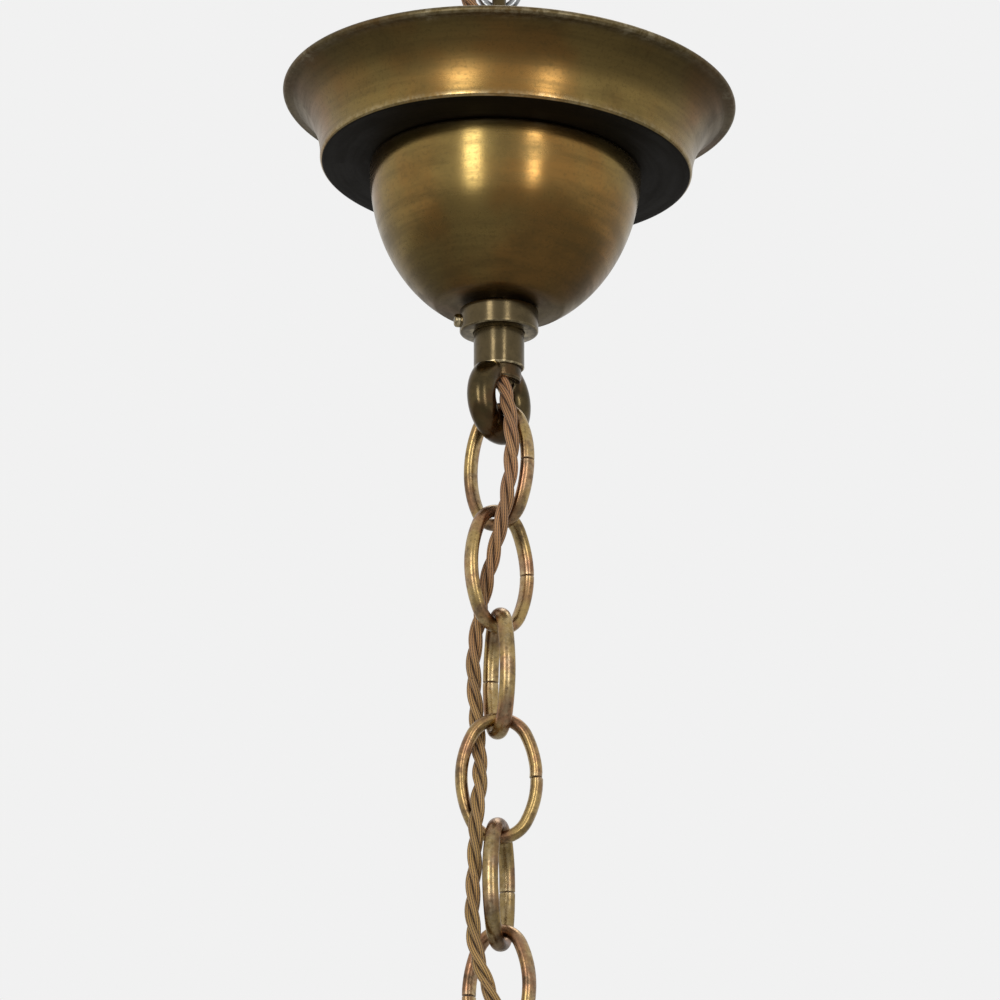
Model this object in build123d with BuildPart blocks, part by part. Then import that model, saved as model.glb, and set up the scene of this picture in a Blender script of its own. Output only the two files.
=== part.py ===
from build123d import *
from math import asin, atan2, cos, degrees, pi, radians, sin, sqrt, tan
import os

# Ceiling suspension of a bronze chandelier: steel hook, sliding canopy, ring, link chain and flex.
# Millimetres. The origin is on the ceiling, where the hook's screw goes in, and everything hangs
# below it. +Z is up, +X to the right and +Y away from someone who looks at the canopy's front.

# Clearances
hang_gap = 0.3
fit_gap = 0.05
flex_gap = 0.35

# Ceiling hook
hook_wire = 3.2
hook_bend_radius = 6.3
hook_drop = 42.0
hook_shank_drop = 10.0
hook_jog_height = 8.0
hook_jog_radius = 5.0
hook_tip_rise = 7.0
screw_diameter = 4.5
screw_length = 30.0
screw_point = 6.0
screw_point_diameter = 1.1
hook_shoulder_diameter = 6.0
hook_flange_diameter = 12.0
hook_flange_height = 1.6

# Top eye
eye_radius = 7.5
eye_wire = 4.8
eye_turn = 90.0
eye_boss_diameter = 14.0
eye_boss_height = 10.5
eye_entry = 5.0

# Rings that carry the chain
ring_radius = 10.3
ring_wire = 9.6
stem_ring_turn = 55.0
body_ring_turn = 52.0
boss_diameter = 15.0
boss_rise = 0.8
mouth_setback = 0.9
spigot_height = 10.0
body_neck_height = 25.0
body_thread_depth = 12.0
body_thread_radius = 4.5
cast_round = 1.2

# Stem
tube_diameter = 10.0
tube_bore = 8.0
tube_entry = 8.0
flex_bore = 8.4
sleeve_diameter = 17.0
sleeve_wall = 1.0
sleeve_length = 103.6
sleeve_chamfer = 0.35
washer_diameter = 18.0
washer_height = 1.5
nut_across_flats = 14.0
nut_height = 4.5
bush_length = 6.0
bush_wall = 0.9

# Slip collar and its screw
collar_diameter = 26.5
collar_height = 8.2
collar_seat = 20.9
collar_round = 0.5
set_screw_diameter = 3.0
set_screw_head = 4.6
set_screw_head_height = 2.0
set_screw_head_round = 1.2
set_screw_slot = 0.7
set_screw_slot_depth = 0.8
set_screw_turn = 186.0

# Canopy, which leans on the collar
lean = 3.5
lean_turn = 41.5
sheet = 1.0
cup_radius = 46.1
cup_height = 50.0
cup_foot_radius = 21.5
cup_arc_shares = (0, 0.35, 0.7, 1)
cup_flange = 10.0
stem_gap = 0.6
seat_washer_radius = 16.0
seat_washer_height = 1.5
pan_radius = 63.3
pan_round = 1.5
pan_rim_radius = 77.2
pan_flare = 29.0
rim_bead = 2.6
rivet_count = 4
rivet_diameter = 3.0
rivet_head = 5.5
rivet_head_height = 1.2
rivet_from_edge = 5.0

# Chain
link_width = 29.0
link_length = 44.5
link_end_radius = 10.0
link_thickness = 4.2
link_breadth = 5.3
link_seam = 0.3
link_turns = (-40.0, 42.0, 103.0, 0.0, 77.0, 142.0)

# Flex and its terminal block
flex_diameter = 5.2
core_diameter = 2.2
core_entry = 4.0
core_turn = -120.0
core_bend_radius = 3.3
core_rise = 4.4
core_corner_out = 4.6
whipping_wall = 0.6
whipping_length = 6.0
strap_thickness = 1.5
strap_width = 16.0
strap_end_x = -36.0
strap_round = 3.0
block_place = (-28.0, -1.0)
block_ways = 3
block_height = 11.0
block_width = 27.0
block_depth = 16.0
block_pitch = 8.5
block_round = 0.8
block_screw_diameter = 2.9
block_screw_head = 3.6
block_screw_sink = 2.0
barrel_diameter = 4.4
barrel_bore = 2.9
barrel_length = 14.0
terminal_screw_diameter = 2.4
terminal_screw_head = 3.4
terminal_head_height = 1.4
terminal_screw_spacing = 7.0
terminal_screw_set = 1.0

# Route of the flex's middle line, chosen by hand from the photographed lay
flex_route = [
    (-14.5, -2.0, -29.6),
    (-10.5, -3.5, -42.1),
    (0.0, 0.0, -52.6),
    (0.0, 0.0, -173.6),
    (2.7, -9.5, -184.8),
    (4.6, -12.0, -200.0),
    (3.4, -11.2, -216.0),
    (0.2, -8.2, -231.0),
    (-3.6, -2.3, -244.5),
    (-6.5, 3.2, -257.5),
    (-8.8, 5.6, -271.5),
    (-7.9, 7.0, -286.0),
    (-6.8, 5.7, -300.0),
    (-6.0, -0.9, -314.0),
    (-7.6, -6.2, -328.5),
    (-7.9, -7.6, -344.0),
    (-8.9, -7.4, -359.0),
    (-7.9, -9.4, -374.0),
    (-2.8, -12.0, -388.5),
    (3.1, -10.7, -403.5),
    (0.0, 0.0, -418.4),
    (0.0, 0.0, -431.5),
]
flex_arc_share = 0.45

# Heights that follow from the sizes above
eye_height = -hook_drop + (hook_wire + eye_wire) / 2 + hang_gap - eye_radius
eye_boss_top = eye_height - eye_radius + mouth_setback
eye_boss_foot = eye_boss_top - eye_boss_height
nut_foot = eye_boss_foot - nut_height
sleeve_top = nut_foot - washer_height
shoulder = sleeve_top - sleeve_length
stem_ring_height = shoulder - boss_rise - ring_radius
link_path_length = link_length - link_thickness
link_pitch = link_path_length - link_thickness - hang_gap
first_link_top = stem_ring_height - ring_radius + (ring_wire + link_thickness) / 2 + hang_gap
link_middles = [first_link_top - link_path_length / 2 - link_pitch * k for k in range(len(link_turns))]
last_link_foot = link_middles[-1] - link_path_length / 2
body_ring_height = last_link_foot + (link_thickness + ring_wire) / 2 + hang_gap - ring_radius
body_shoulder = body_ring_height - ring_radius - boss_rise
collar_top = shoulder + collar_seat
seat_height = collar_top + hang_gap + collar_diameter / 2 * tan(radians(lean))

# Planes of the leaning canopy: its axis, and the upright plane that its outlines are drawn on
lean_x = sin(radians(lean)) * cos(radians(lean_turn))
lean_y = sin(radians(lean)) * sin(radians(lean_turn))
canopy_up = Vector(lean_x, lean_y, cos(radians(lean)))
seat_point = Vector(0, 0, seat_height)
canopy_side = Vector(0, 1, 0).cross(canopy_up).normalized()
canopy_base = Plane(origin=seat_point, x_dir=canopy_side, z_dir=canopy_up)
canopy_outline = Plane(origin=seat_point, x_dir=canopy_side, z_dir=canopy_side.cross(canopy_up))
canopy_axis = Axis(seat_point, canopy_up)

block_x, block_y = block_place
block_screw_y = block_y + block_pitch / 2

os.makedirs("parts", exist_ok=True)


def save(built, name):
    """Label a finished piece and write it to its own file."""
    built.part.label = name
    export_step(built.part, "parts/" + name + ".step")


def upright(turn, height):
    """Plane whose own X runs level at this turn about the vertical and whose own Y runs up."""
    level = Vector(cos(radians(turn)), sin(radians(turn)), 0)
    return Plane(origin=(0, 0, height), x_dir=level, z_dir=level.cross(Vector(0, 0, 1)))


def corner_radii(points):
    """Largest arc for each corner of a route, and a printed note of the radii."""
    radii = []
    for before, here, after in zip(points, points[1:], points[2:]):
        run_in = Vector(*here) - Vector(*before)
        run_out = Vector(*after) - Vector(*here)
        turn = run_in.get_angle(run_out)
        shorter = min(run_in.length, run_out.length)
        radii.append(flex_arc_share * shorter / tan(radians(turn) / 2))
    return radii


# Path of the flex, the tube it fills and the channel it needs in the castings
flex_radii = corner_radii(flex_route)
print("flex arc radii:", [round(radius, 1) for radius in flex_radii])
flex_start = Vector(*flex_route[0])
flex_heading = (Vector(*flex_route[1]) - flex_start).normalized()
flex_end_plane = Plane(origin=flex_start, z_dir=flex_heading)
with BuildLine() as flex_line:
    FilletPolyline(*flex_route, radius=flex_radii)
with BuildPart() as flex_tube:
    with BuildSketch(flex_end_plane):
        Circle(flex_diameter / 2)
    sweep(path=flex_line.wires()[0])
flex_length = flex_line.wires()[0].length
print("flex length:", round(flex_length, 1))
flex_section = pi * (flex_diameter / 2) ** 2
volume_share = flex_tube.part.volume / (flex_section * flex_length)
print("flex volume over section times length:", round(volume_share, 4))
with BuildPart() as flex_channel:
    with BuildSketch(flex_end_plane):
        Circle(flex_diameter / 2 + flex_gap)
    sweep(path=flex_line.wires()[0])

# Ceiling hook: screw, shoulder through the strap, flange, jogged shank and bend.
# The lowest point of the bend is on the vertical axis.
bend_height = -hook_drop + hook_bend_radius
hook_start = -strap_thickness - hook_flange_height / 2
with BuildPart() as ceiling_hook:
    with BuildLine(Plane.XZ) as hook_line:
        shank = FilletPolyline(
            (0, hook_start),
            (0, -hook_shank_drop),
            (-hook_bend_radius, -hook_shank_drop - hook_jog_height),
            (-hook_bend_radius, bend_height),
            radius=hook_jog_radius,
        )
        bend = ThreePointArc(shank @ 1, (0, -hook_drop), (hook_bend_radius, bend_height))
        Line(bend @ 1, (hook_bend_radius, bend_height + hook_tip_rise))
    with BuildSketch(Plane.XY.offset(hook_start)):
        Circle(hook_wire / 2)
    sweep(path=hook_line.wires()[0])
    with Locations((hook_bend_radius, 0, bend_height + hook_tip_rise)):
        Sphere(hook_wire / 2)
    with BuildSketch(Plane.XY.offset(-strap_thickness)):
        Circle(hook_flange_diameter / 2)
    extrude(amount=-hook_flange_height)
    with BuildSketch(Plane.XY.offset(-strap_thickness)):
        Circle(hook_shoulder_diameter / 2)
    extrude(amount=strap_thickness)
    with BuildSketch(Plane.XY):
        Circle(screw_diameter / 2)
    extrude(amount=screw_length - screw_point)
    with BuildSketch(Plane.XY.offset(screw_length - screw_point)):
        Circle(screw_diameter / 2)
    with BuildSketch(Plane.XY.offset(screw_length)):
        Circle(screw_point_diameter / 2)
    loft()
save(ceiling_hook, "ceiling_hook")

# Top eye: a small ring on a threaded boss, with a rounded way out for the flex
with BuildPart() as top_eye:
    with BuildSketch(Plane.XY.offset(eye_boss_foot)):
        Circle(eye_boss_diameter / 2)
    extrude(amount=eye_boss_height)
    fillet(top_eye.edges().filter_by(GeomType.CIRCLE), radius=cast_round)
    with Locations(upright(eye_turn, eye_height)):
        Torus(eye_radius, eye_wire / 2)
    with BuildSketch(Plane.XY.offset(eye_boss_foot)):
        Circle(tube_diameter / 2)
    extrude(amount=eye_entry, mode=Mode.SUBTRACT)
    with BuildSketch(Plane.XY.offset(eye_boss_foot)):
        Circle(flex_bore / 2)
    extrude(amount=eye_boss_height + mouth_setback, mode=Mode.SUBTRACT)
    add(flex_channel.part, mode=Mode.SUBTRACT)
save(top_eye, "top_eye")

# Stem ring: ring, boss under the sleeve and spigot inside it
spigot_radius = sleeve_diameter / 2 - sleeve_wall - fit_gap
with BuildPart() as stem_ring:
    stem_mouth = stem_ring_height + ring_radius - ring_wire / 2 + mouth_setback
    with BuildSketch(Plane.XY.offset(stem_mouth)):
        Circle(boss_diameter / 2)
    extrude(amount=shoulder - stem_mouth)
    fillet(stem_ring.edges().filter_by(GeomType.CIRCLE), radius=cast_round)
    with BuildSketch(Plane.XY.offset(stem_ring_height + ring_radius)):
        Circle(spigot_radius)
    extrude(amount=boss_rise + spigot_height)
    with Locations(upright(stem_ring_turn, stem_ring_height)):
        Torus(ring_radius, ring_wire / 2)
    with BuildSketch(Plane.XY.offset(shoulder)):
        Circle(sleeve_diameter)
        Circle(spigot_radius, mode=Mode.SUBTRACT)
    extrude(amount=spigot_height, mode=Mode.SUBTRACT)
    with BuildSketch(Plane.XY.offset(shoulder + spigot_height)):
        Circle(tube_diameter / 2)
    extrude(amount=-tube_entry, mode=Mode.SUBTRACT)
    with BuildSketch(Plane.XY.offset(shoulder + spigot_height)):
        Circle(flex_bore / 2)
    extrude(amount=stem_mouth - shoulder - spigot_height, mode=Mode.SUBTRACT)
    add(flex_channel.part, mode=Mode.SUBTRACT)
save(stem_ring, "stem_ring")

# Body ring: the same ring turned over, with a neck that is threaded for the chandelier's own tube
with BuildPart() as body_ring:
    body_mouth = body_ring_height - ring_radius + ring_wire / 2 - mouth_setback
    with BuildSketch(Plane.XY.offset(body_shoulder)):
        Circle(boss_diameter / 2)
    extrude(amount=body_mouth - body_shoulder)
    with BuildSketch(Plane.XY.offset(body_shoulder - body_neck_height)):
        Circle(sleeve_diameter / 2)
    extrude(amount=body_neck_height)
    fillet(body_ring.edges().filter_by(GeomType.CIRCLE).sort_by(Axis.Z)[0], radius=cast_round)
    fillet(body_ring.edges().filter_by(GeomType.CIRCLE).sort_by(Axis.Z)[-1], radius=cast_round)
    with Locations(upright(body_ring_turn, body_ring_height)):
        Torus(ring_radius, ring_wire / 2)
    with BuildSketch(Plane.XY.offset(body_shoulder - body_neck_height)):
        Circle(body_thread_radius)
    extrude(amount=body_thread_depth, mode=Mode.SUBTRACT)
    with BuildSketch(Plane.XY.offset(body_shoulder - body_neck_height)):
        Circle(flex_bore / 2)
    extrude(amount=body_neck_height + body_mouth - body_shoulder, mode=Mode.SUBTRACT)
    add(flex_channel.part, mode=Mode.SUBTRACT)
save(body_ring, "body_ring")

# Threaded tube from the stem ring's spigot up into the eye's boss
tube_foot = shoulder + spigot_height - tube_entry + hang_gap
tube_head = eye_boss_foot + eye_entry - hang_gap
with BuildPart() as threaded_tube:
    with BuildSketch(Plane.XY.offset(tube_foot)):
        Circle(tube_diameter / 2 - fit_gap)
        Circle(tube_bore / 2, mode=Mode.SUBTRACT)
    extrude(amount=tube_head - tube_foot)
save(threaded_tube, "threaded_tube")

# Bushes that keep the flex off the tube's sharp ends
with BuildPart() as tube_bushes:
    for end, inward in ((tube_foot, 1), (tube_head, -1)):
        with BuildSketch(Plane.XY.offset(end)):
            Circle(tube_bore / 2 - fit_gap)
            Circle(tube_bore / 2 - bush_wall, mode=Mode.SUBTRACT)
        extrude(amount=inward * bush_length)
save(tube_bushes, "tube_bushes")

# Stem sleeve, which shows as the neck, with its washer and nut on top
with BuildPart() as stem_sleeve:
    with BuildSketch(Plane.XY.offset(shoulder)):
        Circle(sleeve_diameter / 2)
        Circle(sleeve_diameter / 2 - sleeve_wall, mode=Mode.SUBTRACT)
    extrude(amount=sleeve_length)
    chamfer(stem_sleeve.edges().group_by(Axis.Z)[0].sort_by(SortBy.RADIUS)[-1], length=sleeve_chamfer)
save(stem_sleeve, "stem_sleeve")

with BuildPart() as sleeve_washer:
    with BuildSketch(Plane.XY.offset(sleeve_top)):
        Circle(washer_diameter / 2)
        Circle(tube_diameter / 2 + fit_gap, mode=Mode.SUBTRACT)
    extrude(amount=washer_height)
save(sleeve_washer, "sleeve_washer")

with BuildPart() as stem_nut:
    with BuildSketch(Plane.XY.offset(nut_foot)):
        RegularPolygon(nut_across_flats / 2, 6, major_radius=False)
        Circle(tube_diameter / 2, mode=Mode.SUBTRACT)
    extrude(amount=nut_height)
save(stem_nut, "stem_nut")

# Slip collar, bored to slide on the sleeve, with a tapped hole for its set screw
screw_height = collar_top - collar_height / 2
screw_out = Vector(cos(radians(set_screw_turn)), sin(radians(set_screw_turn)), 0)
screw_place = screw_out * (sleeve_diameter / 2 + fit_gap) + Vector(0, 0, screw_height)
screw_tip = Plane(origin=screw_place, x_dir=(0, 0, 1), z_dir=screw_out)
screw_reach = (collar_diameter - sleeve_diameter) / 2 + fit_gap
with BuildPart() as slip_collar:
    with BuildSketch(Plane.XY.offset(collar_top - collar_height)):
        Circle(collar_diameter / 2)
    extrude(amount=collar_height)
    fillet(slip_collar.edges().filter_by(GeomType.CIRCLE), radius=collar_round)
    with BuildSketch(Plane.XY.offset(collar_top - collar_height)):
        Circle(sleeve_diameter / 2 + fit_gap)
    extrude(amount=collar_height, mode=Mode.SUBTRACT)
    with BuildSketch(screw_tip):
        Circle(set_screw_diameter / 2 + fit_gap)
    extrude(amount=screw_reach, mode=Mode.SUBTRACT)
save(slip_collar, "slip_collar")

# Set screw with a domed, slotted head
with BuildPart() as collar_screw:
    with BuildSketch(screw_tip):
        Circle(set_screw_diameter / 2)
    extrude(amount=screw_reach)
    with BuildSketch(screw_tip.offset(screw_reach)):
        Circle(set_screw_head / 2)
    extrude(amount=set_screw_head_height)
    head_rim = collar_screw.faces().sort_by(Axis(screw_tip.origin, screw_out))[-1].edges()
    fillet(head_rim, radius=set_screw_head_round)
    with BuildSketch(screw_tip.offset(screw_reach + set_screw_head_height - set_screw_slot_depth)):
        Rectangle(set_screw_head, set_screw_slot)
    extrude(amount=set_screw_slot_depth, mode=Mode.SUBTRACT)
save(collar_screw, "collar_screw")

# Canopy cup: an oval bowl with a flat foot that rests on the collar and a flange turned in on top
rivet_circle = cup_radius - rivet_from_edge
cup_hole = sleeve_diameter / 2 + stem_gap
cup_bulge = cup_height / sqrt(1 - (cup_foot_radius / cup_radius) ** 2)
cup_foot_angle = asin(cup_height / cup_bulge)
cup_points = []
for share in cup_arc_shares:
    angle = cup_foot_angle * share
    cup_points.append((cup_radius * cos(angle), cup_height - cup_bulge * sin(angle)))
with BuildPart() as canopy_cup:
    with BuildSketch(canopy_outline):
        with BuildLine() as cup_line:
            Line((cup_radius - cup_flange, cup_height), cup_points[0])
            wall = TangentArc(cup_points[0], cup_points[1], tangent=(0, -1))
            wall = TangentArc(cup_points[1], cup_points[2], tangent=wall % 1)
            wall = TangentArc(cup_points[2], cup_points[3], tangent=wall % 1)
            Line(cup_points[3], (cup_hole, 0))
            offset(amount=sheet, side=Side.RIGHT, kind=Kind.INTERSECTION)
        make_face()
    revolve(axis=canopy_axis)
    with BuildSketch(canopy_base.offset(cup_height)):
        with PolarLocations(rivet_circle, rivet_count):
            Circle(rivet_diameter / 2 + fit_gap)
    extrude(amount=-sheet, mode=Mode.SUBTRACT)
save(canopy_cup, "canopy_cup")

# Washer soldered round the cup's hole
with BuildPart() as seat_washer:
    with BuildSketch(canopy_base.offset(sheet)):
        Circle(seat_washer_radius)
        Circle(cup_hole, mode=Mode.SUBTRACT)
    extrude(amount=seat_washer_height)
save(seat_washer, "seat_washer")

# Canopy pan: a flat floor that flares into a beaded rim
flare_start = cup_height + pan_round
flare_centre = (pan_radius + pan_flare, flare_start)
bead_radius = rim_bead / 2
rim_centre_x = pan_rim_radius - bead_radius
rim_centre_y = flare_start + sqrt(pan_flare ** 2 - (flare_centre[0] - rim_centre_x) ** 2)
flare_angle = degrees(atan2(rim_centre_y - flare_start, rim_centre_x - flare_centre[0]))
pan_hole = cup_radius - sheet / 2 - cup_flange
with BuildPart() as canopy_pan:
    with BuildSketch(canopy_outline):
        with BuildLine() as pan_line:
            Line((pan_hole, cup_height), (pan_radius - pan_round, cup_height))
            CenterArc((pan_radius - pan_round, flare_start), pan_round, -90, 90)
            flare_line = CenterArc(flare_centre, pan_flare, 180, flare_angle - 180)
            Line(flare_line @ 1, (flare_line @ 1) - (flare_line % 1).rotate(Axis.Z, -90) * sheet)
            CenterArc(flare_centre, pan_flare + sheet, flare_angle, 180 - flare_angle)
            corner_back = CenterArc((pan_radius - pan_round, flare_start), pan_round - sheet, 0, -90)
            Line(corner_back @ 1, (pan_hole, cup_height + sheet))
            Line((pan_hole, cup_height + sheet), (pan_hole, cup_height))
        make_face()
        with Locations((rim_centre_x, rim_centre_y)):
            Circle(bead_radius)
    revolve(axis=canopy_axis)
    with BuildSketch(canopy_base.offset(cup_height)):
        with PolarLocations(rivet_circle, rivet_count):
            Circle(rivet_diameter / 2 + fit_gap)
    extrude(amount=sheet, mode=Mode.SUBTRACT)
save(canopy_pan, "canopy_pan")

# Rivets through the cup's flange and the pan's floor
with BuildPart() as canopy_rivets:
    with BuildSketch(canopy_base.offset(cup_height - sheet)):
        with PolarLocations(rivet_circle, rivet_count):
            Circle(rivet_head / 2)
    extrude(amount=-rivet_head_height)
    with BuildSketch(canopy_base.offset(cup_height + sheet)):
        with PolarLocations(rivet_circle, rivet_count):
            Circle(rivet_head / 2)
    extrude(amount=rivet_head_height)
    with BuildSketch(canopy_base.offset(cup_height - sheet)):
        with PolarLocations(rivet_circle, rivet_count):
            Circle(rivet_diameter / 2)
    extrude(amount=2 * sheet)
save(canopy_rivets, "canopy_rivets")

# Chain links: oval rings of four arcs, bent from flattened wire, with a butt joint at one side
half_width = (link_width - link_thickness) / 2
end_centre = link_path_length / 2 - link_end_radius
side_bulge = 2 * (half_width - link_end_radius)
side_radius = (half_width ** 2 + end_centre ** 2 - link_end_radius ** 2) / side_bulge
side_centre = side_radius - half_width
join_angle = degrees(atan2(end_centre, side_centre))
for number, turn in enumerate(link_turns, start=1):
    middle = link_middles[number - 1]
    link_plane = upright(turn, middle)
    with BuildPart() as chain_link:
        with BuildLine(link_plane) as link_line:
            CenterArc((-side_centre, 0), side_radius, -join_angle, 2 * join_angle)
            CenterArc((0, end_centre), link_end_radius, join_angle, 180 - 2 * join_angle)
            CenterArc((side_centre, 0), side_radius, 180 - join_angle, 2 * join_angle)
            CenterArc((0, -end_centre), link_end_radius, 180 + join_angle, 180 - 2 * join_angle)
        side_place = link_plane.x_dir * half_width + Vector(0, 0, middle)
        side_plane = Plane(origin=side_place, x_dir=link_plane.x_dir, z_dir=(0, 0, 1))
        with BuildSketch(side_plane):
            Ellipse(link_thickness / 2, link_breadth / 2)
        sweep(path=link_line.wires()[0])
        with BuildSketch(side_plane):
            Rectangle(2 * link_thickness, 2 * link_breadth)
        extrude(amount=link_seam / 2, both=True, mode=Mode.SUBTRACT)
    save(chain_link, "chain_link_" + str(number))

# Flex stretches: one in the open above the eye, one in the stem, and one over each joint of the chain
stem_mouth_cut = shoulder + spigot_height / 2
stretch_names = ["flex_top", "flex_in_stem"]
stretch_names += ["flex_" + str(number) for number in range(1, len(link_turns) + 2)]
cuts = [0.0, eye_boss_foot, stem_mouth_cut] + link_middles + [body_shoulder - body_neck_height]
for name, top, foot in zip(stretch_names, cuts, cuts[1:]):
    with BuildPart() as stretch:
        add(flex_tube.part)
        split(bisect_by=Plane.XY.offset(top), keep=Keep.BOTTOM)
        split(bisect_by=Plane.XY.offset(foot), keep=Keep.TOP)
    save(stretch, name)

# Whipping bound round the flex's upper end
with BuildPart() as flex_whipping:
    with BuildSketch(flex_end_plane):
        Circle(flex_diameter / 2 + hang_gap + whipping_wall)
        Circle(flex_diameter / 2 + hang_gap, mode=Mode.SUBTRACT)
    extrude(amount=whipping_length)
save(flex_whipping, "flex_whipping")

# Ceiling strap under the plaster, clamped by the hook's flange
strap_length = -strap_end_x + hook_flange_diameter / 2
with BuildPart() as ceiling_strap:
    with BuildSketch(Plane.XY):
        with Locations((hook_flange_diameter / 2, 0)):
            Rectangle(strap_length, strap_width, align=(Align.MAX, Align.CENTER))
        fillet(vertices(), radius=strap_round)
        Circle(hook_shoulder_diameter / 2 + fit_gap, mode=Mode.SUBTRACT)
        with Locations((block_x, block_screw_y)):
            Circle(block_screw_diameter / 2, mode=Mode.SUBTRACT)
    extrude(amount=-strap_thickness)
save(ceiling_strap, "ceiling_strap")

# Terminal block with three ways, its brass barrels and their screws
block_foot = -strap_thickness - block_height
barrel_level = -strap_thickness - block_height / 2
way_levels = [(block_y + block_pitch * (way - 1), barrel_level) for way in range(block_ways)]
screw_places = [
    (block_x + side * terminal_screw_spacing / 2, way_y)
    for way_y, way_z in way_levels
    for side in (-1, 1)
]
with BuildPart() as terminal_block:
    with BuildSketch(Plane.XY.offset(block_foot)):
        with Locations((block_x, block_y)):
            RectangleRounded(block_depth, block_width, block_round)
        with Locations((block_x, block_screw_y)):
            Circle(block_screw_diameter / 2 + fit_gap, mode=Mode.SUBTRACT)
    extrude(amount=block_height)
    with BuildSketch(Plane.YZ.offset(block_x)):
        with Locations(*way_levels):
            Circle(barrel_diameter / 2)
    extrude(amount=block_depth / 2, both=True, mode=Mode.SUBTRACT)
    with BuildSketch(Plane.XY.offset(block_foot)):
        with Locations(*screw_places):
            Circle(terminal_screw_head / 2)
        with Locations((block_x, block_screw_y)):
            Circle(block_screw_head / 2 + fit_gap)
    extrude(amount=block_screw_sink, mode=Mode.SUBTRACT)
    with BuildSketch(Plane.XY.offset(block_foot)):
        with Locations(*screw_places):
            Circle(terminal_screw_head / 2)
    extrude(amount=block_height / 2, mode=Mode.SUBTRACT)
save(terminal_block, "terminal_block")

with BuildPart() as terminal_barrels:
    with BuildSketch(Plane.YZ.offset(block_x)):
        with Locations(*way_levels):
            Circle(barrel_diameter / 2 - fit_gap)
            Circle(barrel_bore / 2, mode=Mode.SUBTRACT)
    extrude(amount=barrel_length / 2, both=True)
    with BuildSketch(Plane.XY.offset(barrel_level)):
        with Locations(*screw_places):
            Circle(terminal_screw_diameter / 2 + fit_gap)
    extrude(amount=-barrel_diameter, mode=Mode.SUBTRACT)
save(terminal_barrels, "terminal_barrels")

with BuildPart() as terminal_screws:
    with BuildSketch(Plane.XY.offset(block_foot + terminal_screw_set)):
        with Locations(*screw_places):
            Circle(terminal_screw_head / 2 - fit_gap)
    extrude(amount=terminal_head_height)
    with BuildSketch(Plane.XY.offset(block_foot + terminal_screw_set)):
        with Locations(*screw_places):
            Circle(terminal_screw_diameter / 2)
    extrude(amount=(block_height - core_diameter) / 2 - terminal_screw_set - fit_gap)
save(terminal_screws, "terminal_screws")

# Screw that holds the block up against the strap
with BuildPart() as block_screw:
    with BuildSketch(Plane.XY.offset(block_foot)):
        with Locations((block_x, block_screw_y)):
            Circle(block_screw_head / 2)
    extrude(amount=block_screw_sink)
    with BuildSketch(Plane.XY.offset(block_foot)):
        with Locations((block_x, block_screw_y)):
            Circle(block_screw_diameter / 2)
    extrude(amount=block_height + strap_thickness)
save(block_screw, "block_screw")

# Core ends: three cores from the flex's end up and across into the barrels
core_lay = flex_diameter / 2 - core_diameter / 2 - fit_gap
block_mouth = block_x + block_depth / 2
core_back = Plane(origin=flex_start, x_dir=(0, 1, 0), z_dir=-flex_heading)
with BuildPart() as core_ends:
    for way, (way_y, way_z) in enumerate(way_levels):
        lay_turn = radians(core_turn + way * 360 / block_ways)
        start = core_back.from_local_coords(Vector(core_lay * sin(lay_turn), core_lay * cos(lay_turn), 0))
        rise = start - flex_heading * core_rise
        corner = Vector(block_mouth + core_corner_out, way_y, way_z)
        inside = Vector(block_mouth - core_entry, way_y, way_z)
        with BuildLine() as core_line:
            FilletPolyline(start, rise, corner, inside, radius=core_bend_radius)
        with BuildSketch(Plane(origin=start, z_dir=-flex_heading)):
            Circle(core_diameter / 2)
        sweep(path=core_line.wires()[0])
save(core_ends, "core_ends")
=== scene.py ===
"""Ceiling suspension of a bronze chandelier: canopy, collar, cast rings, chain and twisted flex.

Metres. The origin is on the ceiling where the hook's screw goes in, +Z is up and +Y away from
someone who looks at the canopy's front.
"""

from math import asin, atan2, cos, degrees, pi, radians, sin, sqrt, tan

import bmesh
import bpy
import numpy as np
from mathutils import Matrix, Vector


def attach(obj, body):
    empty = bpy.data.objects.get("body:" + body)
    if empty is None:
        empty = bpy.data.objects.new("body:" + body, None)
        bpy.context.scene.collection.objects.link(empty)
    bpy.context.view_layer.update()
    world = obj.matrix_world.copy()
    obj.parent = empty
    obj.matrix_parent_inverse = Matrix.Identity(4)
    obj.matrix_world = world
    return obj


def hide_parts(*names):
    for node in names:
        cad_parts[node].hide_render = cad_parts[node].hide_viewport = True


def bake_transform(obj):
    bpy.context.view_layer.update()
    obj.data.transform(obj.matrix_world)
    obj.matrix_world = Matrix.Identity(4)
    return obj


bl_info = {
    "name": "Bronze chandelier suspension",
    "version": (1, 0, 0),
    "blender": (4, 5, 0),
    "location": "View3D > Sidebar > Suspension",
    "description": "Models a chandelier's canopy, chain and flex over its packed frame",
    "category": "Object",
}

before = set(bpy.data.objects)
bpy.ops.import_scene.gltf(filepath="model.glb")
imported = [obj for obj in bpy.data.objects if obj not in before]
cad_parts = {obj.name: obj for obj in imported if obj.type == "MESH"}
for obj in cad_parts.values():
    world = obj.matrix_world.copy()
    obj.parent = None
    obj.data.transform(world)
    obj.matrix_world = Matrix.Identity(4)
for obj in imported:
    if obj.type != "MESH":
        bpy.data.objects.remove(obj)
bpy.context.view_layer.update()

MM = 0.001

# Points that lie closer than this are merged into one
WELD = 0.004 * MM


# Sizes and colours

def length(name, description, millimetres):
    """A size that the user can change, shown in the scene's own unit."""
    return bpy.props.FloatProperty(
        name=name, description=description, default=millimetres * MM, min=0, precision=5, unit="LENGTH"
    )


def angle(name, description, degrees):
    """An angle that the user can change."""
    turn = radians(degrees)
    return bpy.props.FloatProperty(name=name, description=description, default=turn, unit="ROTATION")


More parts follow.
